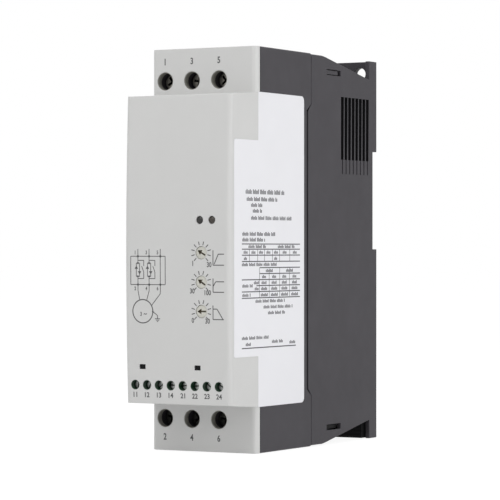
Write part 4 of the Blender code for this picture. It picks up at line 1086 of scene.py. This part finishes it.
blocks_in_cells((LOWER_COLUMNS[0], LOWER_COLUMNS[2], RULE_RIGHT), 0.0673, 0.0029)
for z, half_length in ((0.0651, 0.0017), (0.0629, 0.0021), (0.0607, 0.0024), (0.0584, 0.0027)):
    blocks_in_cells(lower_borders, z, half_length)
printed_layer("label_fine_print", blocks, (PRINT_OVER - FILM_OVER, 0, 0), label_ink)


# Front print: dial scales, plain numbers, ramp marks and the line diagram, pad printed in
# dark grey straight on the cover. All of it follows the slight bulge of the front.
PRINT_PROUD = 0.000016
LINE_HALF = 0.00014
BOLD_HALF = 0.00017
DIGIT_HEIGHT = 0.0019
DIGIT_BOLD = 0.026
BEND_STEP = 0.0024
RING_SEGMENTS = 48


def front_line(bm, start, end, half=LINE_HALF):
    """A straight printed line between two (x, z) points."""
    along = (Vector(end) - Vector(start)).normalized()
    side = Vector((-along.y, along.x)) * half
    corners = [Vector(start) - side, Vector(end) - side, Vector(end) + side, Vector(start) + side]
    bm.faces.new([bm.verts.new((corner.x, 0, corner.y)) for corner in corners])


def front_path(bm, points, half=LINE_HALF):
    """Printed lines from point to point."""
    for start, end in zip(points, points[1:]):
        front_line(bm, start, end, half)


def front_ring(bm, centre, radius, half=LINE_HALF):
    """A printed circle."""
    middle = (centre[0], 0, centre[1])
    inner = circle(bm, middle, radius - half, RING_SEGMENTS)
    outer = circle(bm, middle, radius + half, RING_SEGMENTS)
    bmesh.ops.bridge_loops(bm, edges=inner + outer)


def front_dot(bm, centre, radius, segments=16, turn=0.0):
    """A printed dot, or a triangle where it has three segments."""
    circle(bm, (centre[0], 0, centre[1]), radius, segments, filled=True, turn=turn)


def front_number(bm, words, middle, height=DIGIT_HEIGHT, narrow=0.8):
    """Plain figures, centred on an (x, z) point, as high and as narrow as asked for."""
    curve = bpy.data.curves.new("figures", "FONT")
    curve.body = words
    curve.resolution_u = 4
    curve.offset = DIGIT_BOLD
    typed = placed("figures", curve)
    bpy.context.view_layer.update()
    mesh = bpy.data.meshes.new_from_object(typed)
    xs = [vert.co.x for vert in mesh.vertices]
    ys = [vert.co.y for vert in mesh.vertices]
    scale = height / (max(ys) - min(ys))
    centred = Matrix.Translation((-(max(xs) + min(xs)) / 2, -(max(ys) + min(ys)) / 2, 0))
    shaped = Matrix.Rotation(pi / 2, 4, "X") @ Matrix.Diagonal((scale * narrow, scale, scale, 1))
    mesh.transform(Matrix.Translation((middle[0], 0, middle[1])) @ shaped @ centred)
    bm.from_mesh(mesh)
    bpy.data.objects.remove(typed)
    bpy.data.curves.remove(curve)
    bpy.data.meshes.remove(mesh)


def lay_on_front(name, bm, material):
    """Cuts long print, lays it on the front's surface and gives it a small height."""
    heights = [vert.co.z for vert in bm.verts]
    z = min(heights)
    while z < max(heights):
        z += BEND_STEP
        whole = bm.verts[:] + bm.edges[:] + bm.faces[:]
        bmesh.ops.bisect_plane(bm, geom=whole, plane_co=(0, 0, z), plane_no=(0, 0, 1))
    for vert in bm.verts:
        hit = front_surface.ray_cast(Vector((vert.co.x, -1, vert.co.z)), Vector((0, 1, 0)))[0]
        vert.co.y = hit.y + PRINT_PROUD / 2
    printed_layer(name, bm, (0, -1.5 * PRINT_PROUD, 0), material)


SCALE_INNER, SCALE_OUTER = 0.0028, 0.0042
print_grey = ink("pad_print_grey", (0.060, 0.060, 0.062))
dial_scales = bmesh.new()
for setting in SETTINGS:
    axis = Vector(round_node(f"{setting}_dial")[:2])
    for degrees in range(-135, 136, 30):
        out = Vector((sin(radians(degrees)), cos(radians(degrees))))
        front_line(dial_scales, axis + SCALE_INNER * out, axis + SCALE_OUTER * out, BOLD_HALF)
lay_on_front("dial_scales", dial_scales, print_grey)

scale_numbers = bmesh.new()
for words, x, z in (
    ("1", 0.0069, 0.0700),
    ("30", 0.0138, 0.0696),
    ("30", 0.00665, 0.0600),
    ("100", 0.01315, 0.0594),
    ("0", 0.0068, 0.0493),
    ("30", 0.0130, 0.0491),
):
    front_number(scale_numbers, words, (x, z))
lay_on_front("dial_numbers", scale_numbers, print_grey)

ramps = bmesh.new()
for points in (
    [(0.0154, 0.0748), (0.0154, 0.0694), (0.0200, 0.0694)],
    [(0.0159, 0.0698), (0.0176, 0.0734), (0.0200, 0.0734)],
    [(0.0154, 0.0646), (0.0154, 0.0596), (0.0200, 0.0596)],
    [(0.0155, 0.0618), (0.0165, 0.0634), (0.0200, 0.0634)],
    [(0.0153, 0.0548), (0.0153, 0.0497), (0.0198, 0.0497)],
    [(0.0154, 0.0535), (0.0170, 0.0535), (0.0194, 0.0498)],
):
    front_path(ramps, points, BOLD_HALF)
lay_on_front("ramp_marks", ramps, print_grey)

POLES = (-0.0165, -0.0117, -0.0069)
MOTOR = (-0.0145, 0.0524)
MOTOR_RADIUS = 0.0043
MOTOR_LINE_HALF = 0.0002


def front_box(bm, low, high):
    """A printed frame between two corners."""
    front_path(bm, [low, (high[0], low[1]), high, (low[0], high[1]), low])


diagram = bmesh.new()
front_box(diagram, (-0.0196, 0.0622), (-0.0048, 0.0726))
for x in POLES[:2]:
    front_line(diagram, (x, 0.0753), (x, 0.0701))
    front_line(diagram, (x, 0.0652), (x, 0.0600))
    front_box(diagram, (x - 0.0007, 0.0652), (x + 0.0007, 0.0701))
    front_dot(diagram, (x - 0.0007, 0.0684), 0.00085, segments=3)
    front_dot(diagram, (x + 0.0007, 0.0667), 0.00085, segments=3, turn=pi)
    for z in (0.0701, 0.0652):
        front_dot(diagram, (x, z), 0.00040)
    front_path(diagram, [(x, 0.0711), (x + 0.0025, 0.0711), (x + 0.0025, 0.0690)])
    front_line(diagram, (x + 0.0016, 0.0690), (x + 0.0025, 0.0668))
    front_path(diagram, [(x + 0.0025, 0.0668), (x + 0.0025, 0.0644), (x, 0.0644)])
front_line(diagram, (POLES[2], 0.0753), (POLES[2], 0.0600))
for x in POLES:
    front_dot(diagram, (x, 0.0726), 0.00045)
    front_dot(diagram, (x, 0.0622), 0.00045)
front_path(diagram, [(POLES[0], 0.0600), (-0.0158, 0.0566)])
front_path(diagram, [(POLES[1], 0.0600), (-0.0128, 0.0564)])
front_path(diagram, [(POLES[2], 0.0600), (-0.0070, 0.0588), (-0.0106, 0.0547)])
front_ring(diagram, MOTOR, MOTOR_RADIUS, MOTOR_LINE_HALF)
earth = (MOTOR[0] + MOTOR_RADIUS, 0.0523)
front_dot(diagram, earth, 0.00035)
front_path(diagram, [earth, (-0.0082, 0.0509), (-0.0082, 0.0497)])
for width, z in ((0.0011, 0.0497), (0.0007, 0.0492), (0.0003, 0.0487)):
    front_line(diagram, (-0.0082 - width, z), (-0.0082 + width, z))
front_path(diagram, [(-0.0141, 0.0512), (-0.0137, 0.0516), (-0.0132, 0.0512), (-0.0128, 0.0516)])
lay_on_front("line_diagram", diagram, print_grey)

diagram_numbers = bmesh.new()
front_number(diagram_numbers, "3", (-0.0153, 0.0514), 0.0015)
for x, above, below in zip(POLES, "135", "246"):
    front_number(diagram_numbers, above, (x - 0.0012, 0.0740), 0.0014)
    front_number(diagram_numbers, below, (x - 0.0012, 0.0608), 0.0014)
lay_on_front("diagram_numbers", diagram_numbers, print_grey)

terminal_numbers = bmesh.new()
for number, words in enumerate(("11", "12", "13", "14", "21", "22", "23", "24"), start=1):
    x = round_node(f"control_screw_{number}")[0]
    front_number(terminal_numbers, words, (x, 0.0217), DIGIT_HEIGHT, narrow=0.95)
for end, z, words in (("line", 0.1453, "135"), ("load", 0.0051, "246")):
    for pole in (1, 2, 3):
        x = round_node(f"{end}_screw_{pole}")[0]
        front_number(terminal_numbers, words[pole - 1], (x, z), 0.0025)
lay_on_front("terminal_numbers", terminal_numbers, print_grey)


# Floor, light and camera: a pale table in a white room, lit softly from the front, the side
# and above, and seen as the photograph shows the device.
FLOOR_HALF = 6.0
FLOOR_BELOW = 0.0002


def seen_by(ground, *rays):
    """Is 1 for the named kinds of ray, so that a ground can look white and still light softly."""
    path = new_node(ground, "ShaderNodeLightPath")
    seen = path.outputs[f"Is {rays[0]} Ray"]
    for ray in rays[1:]:
        either = new_node(ground, "ShaderNodeMath", operation="MAXIMUM")
        ground.node_tree.links.new(seen, either.inputs[0])
        ground.node_tree.links.new(path.outputs[f"Is {ray} Ray"], either.inputs[1])
        seen = either.outputs[0]
    return seen


table, shader, place, link = new_material("pale_table")
shader.inputs["Base Color"].default_value = (0.86, 0.86, 0.86, 1)
shader.inputs["Roughness"].default_value = 0.8
faint = new_node(table, "ShaderNodeBsdfDiffuse", Color=(0.2, 0.2, 0.2, 1))
glow = new_node(table, "ShaderNodeEmission", Strength=0.9)
shown = new_node(table, "ShaderNodeAddShader")
link(faint.outputs["BSDF"], shown.inputs[0])
link(glow.outputs["Emission"], shown.inputs[1])
both = new_node(table, "ShaderNodeMixShader")
link(seen_by(table, "Camera", "Glossy"), both.inputs["Fac"])
link(shader.outputs["BSDF"], both.inputs[1])
link(shown.outputs["Shader"], both.inputs[2])
link(both.outputs["Shader"], table.node_tree.nodes["Material Output"].inputs["Surface"])
bm = bmesh.new()
below = Matrix.Translation((0, 0, -FLOOR_BELOW))
bmesh.ops.create_grid(bm, x_segments=1, y_segments=1, size=FLOOR_HALF, matrix=below)
floor_mesh = bpy.data.meshes.new("table_top")
bm.to_mesh(floor_mesh)
bm.free()
floor_mesh.materials.append(table)
floor = placed("table_top", floor_mesh)

room = bpy.data.worlds.new("white_room")
bpy.context.scene.world = room
room.use_nodes = True
background = room.node_tree.nodes["Background"]
background.inputs["Color"].default_value = (1, 1, 1, 1)
seen = seen_by(room, "Camera", "Glossy", "Transmission")
room.node_tree.links.new(spread(room, seen, 0.50, 1.0), background.inputs["Strength"])


def soft_lamp(name, spot, size, power):
    """A square softbox that faces the middle of the device."""
    lamp = bpy.data.lights.new(name, "AREA")
    lamp.shape = "SQUARE"
    lamp.size = size
    lamp.energy = power
    made = placed(name, lamp)
    made.location = spot
    made.rotation_euler = (Vector((0, 0, HEIGHT / 2)) - Vector(spot)).to_track_quat("-Z", "Y").to_euler()


soft_lamp("front_softbox", (-0.35, -1.3, 0.85), 0.9, 4.3)
soft_lamp("side_softbox", (1.4, -0.15, 0.45), 0.9, 7.3)
soft_lamp("top_softbox", (0.05, -0.40, 1.35), 0.8, 6.0)

eye = bpy.data.cameras.new("photo_view")
eye.lens = 189.5
eye.sensor_width = 36.0
eye.clip_start = 0.01
eye.clip_end = 20.0
camera = placed("photo_view", eye)
camera.location = (0.4925, -0.8840, 0.0749)
camera.rotation_euler = (radians(90), 0, radians(29.24))
bpy.context.scene.camera = camera
bpy.context.scene.view_settings.view_transform = "Standard"
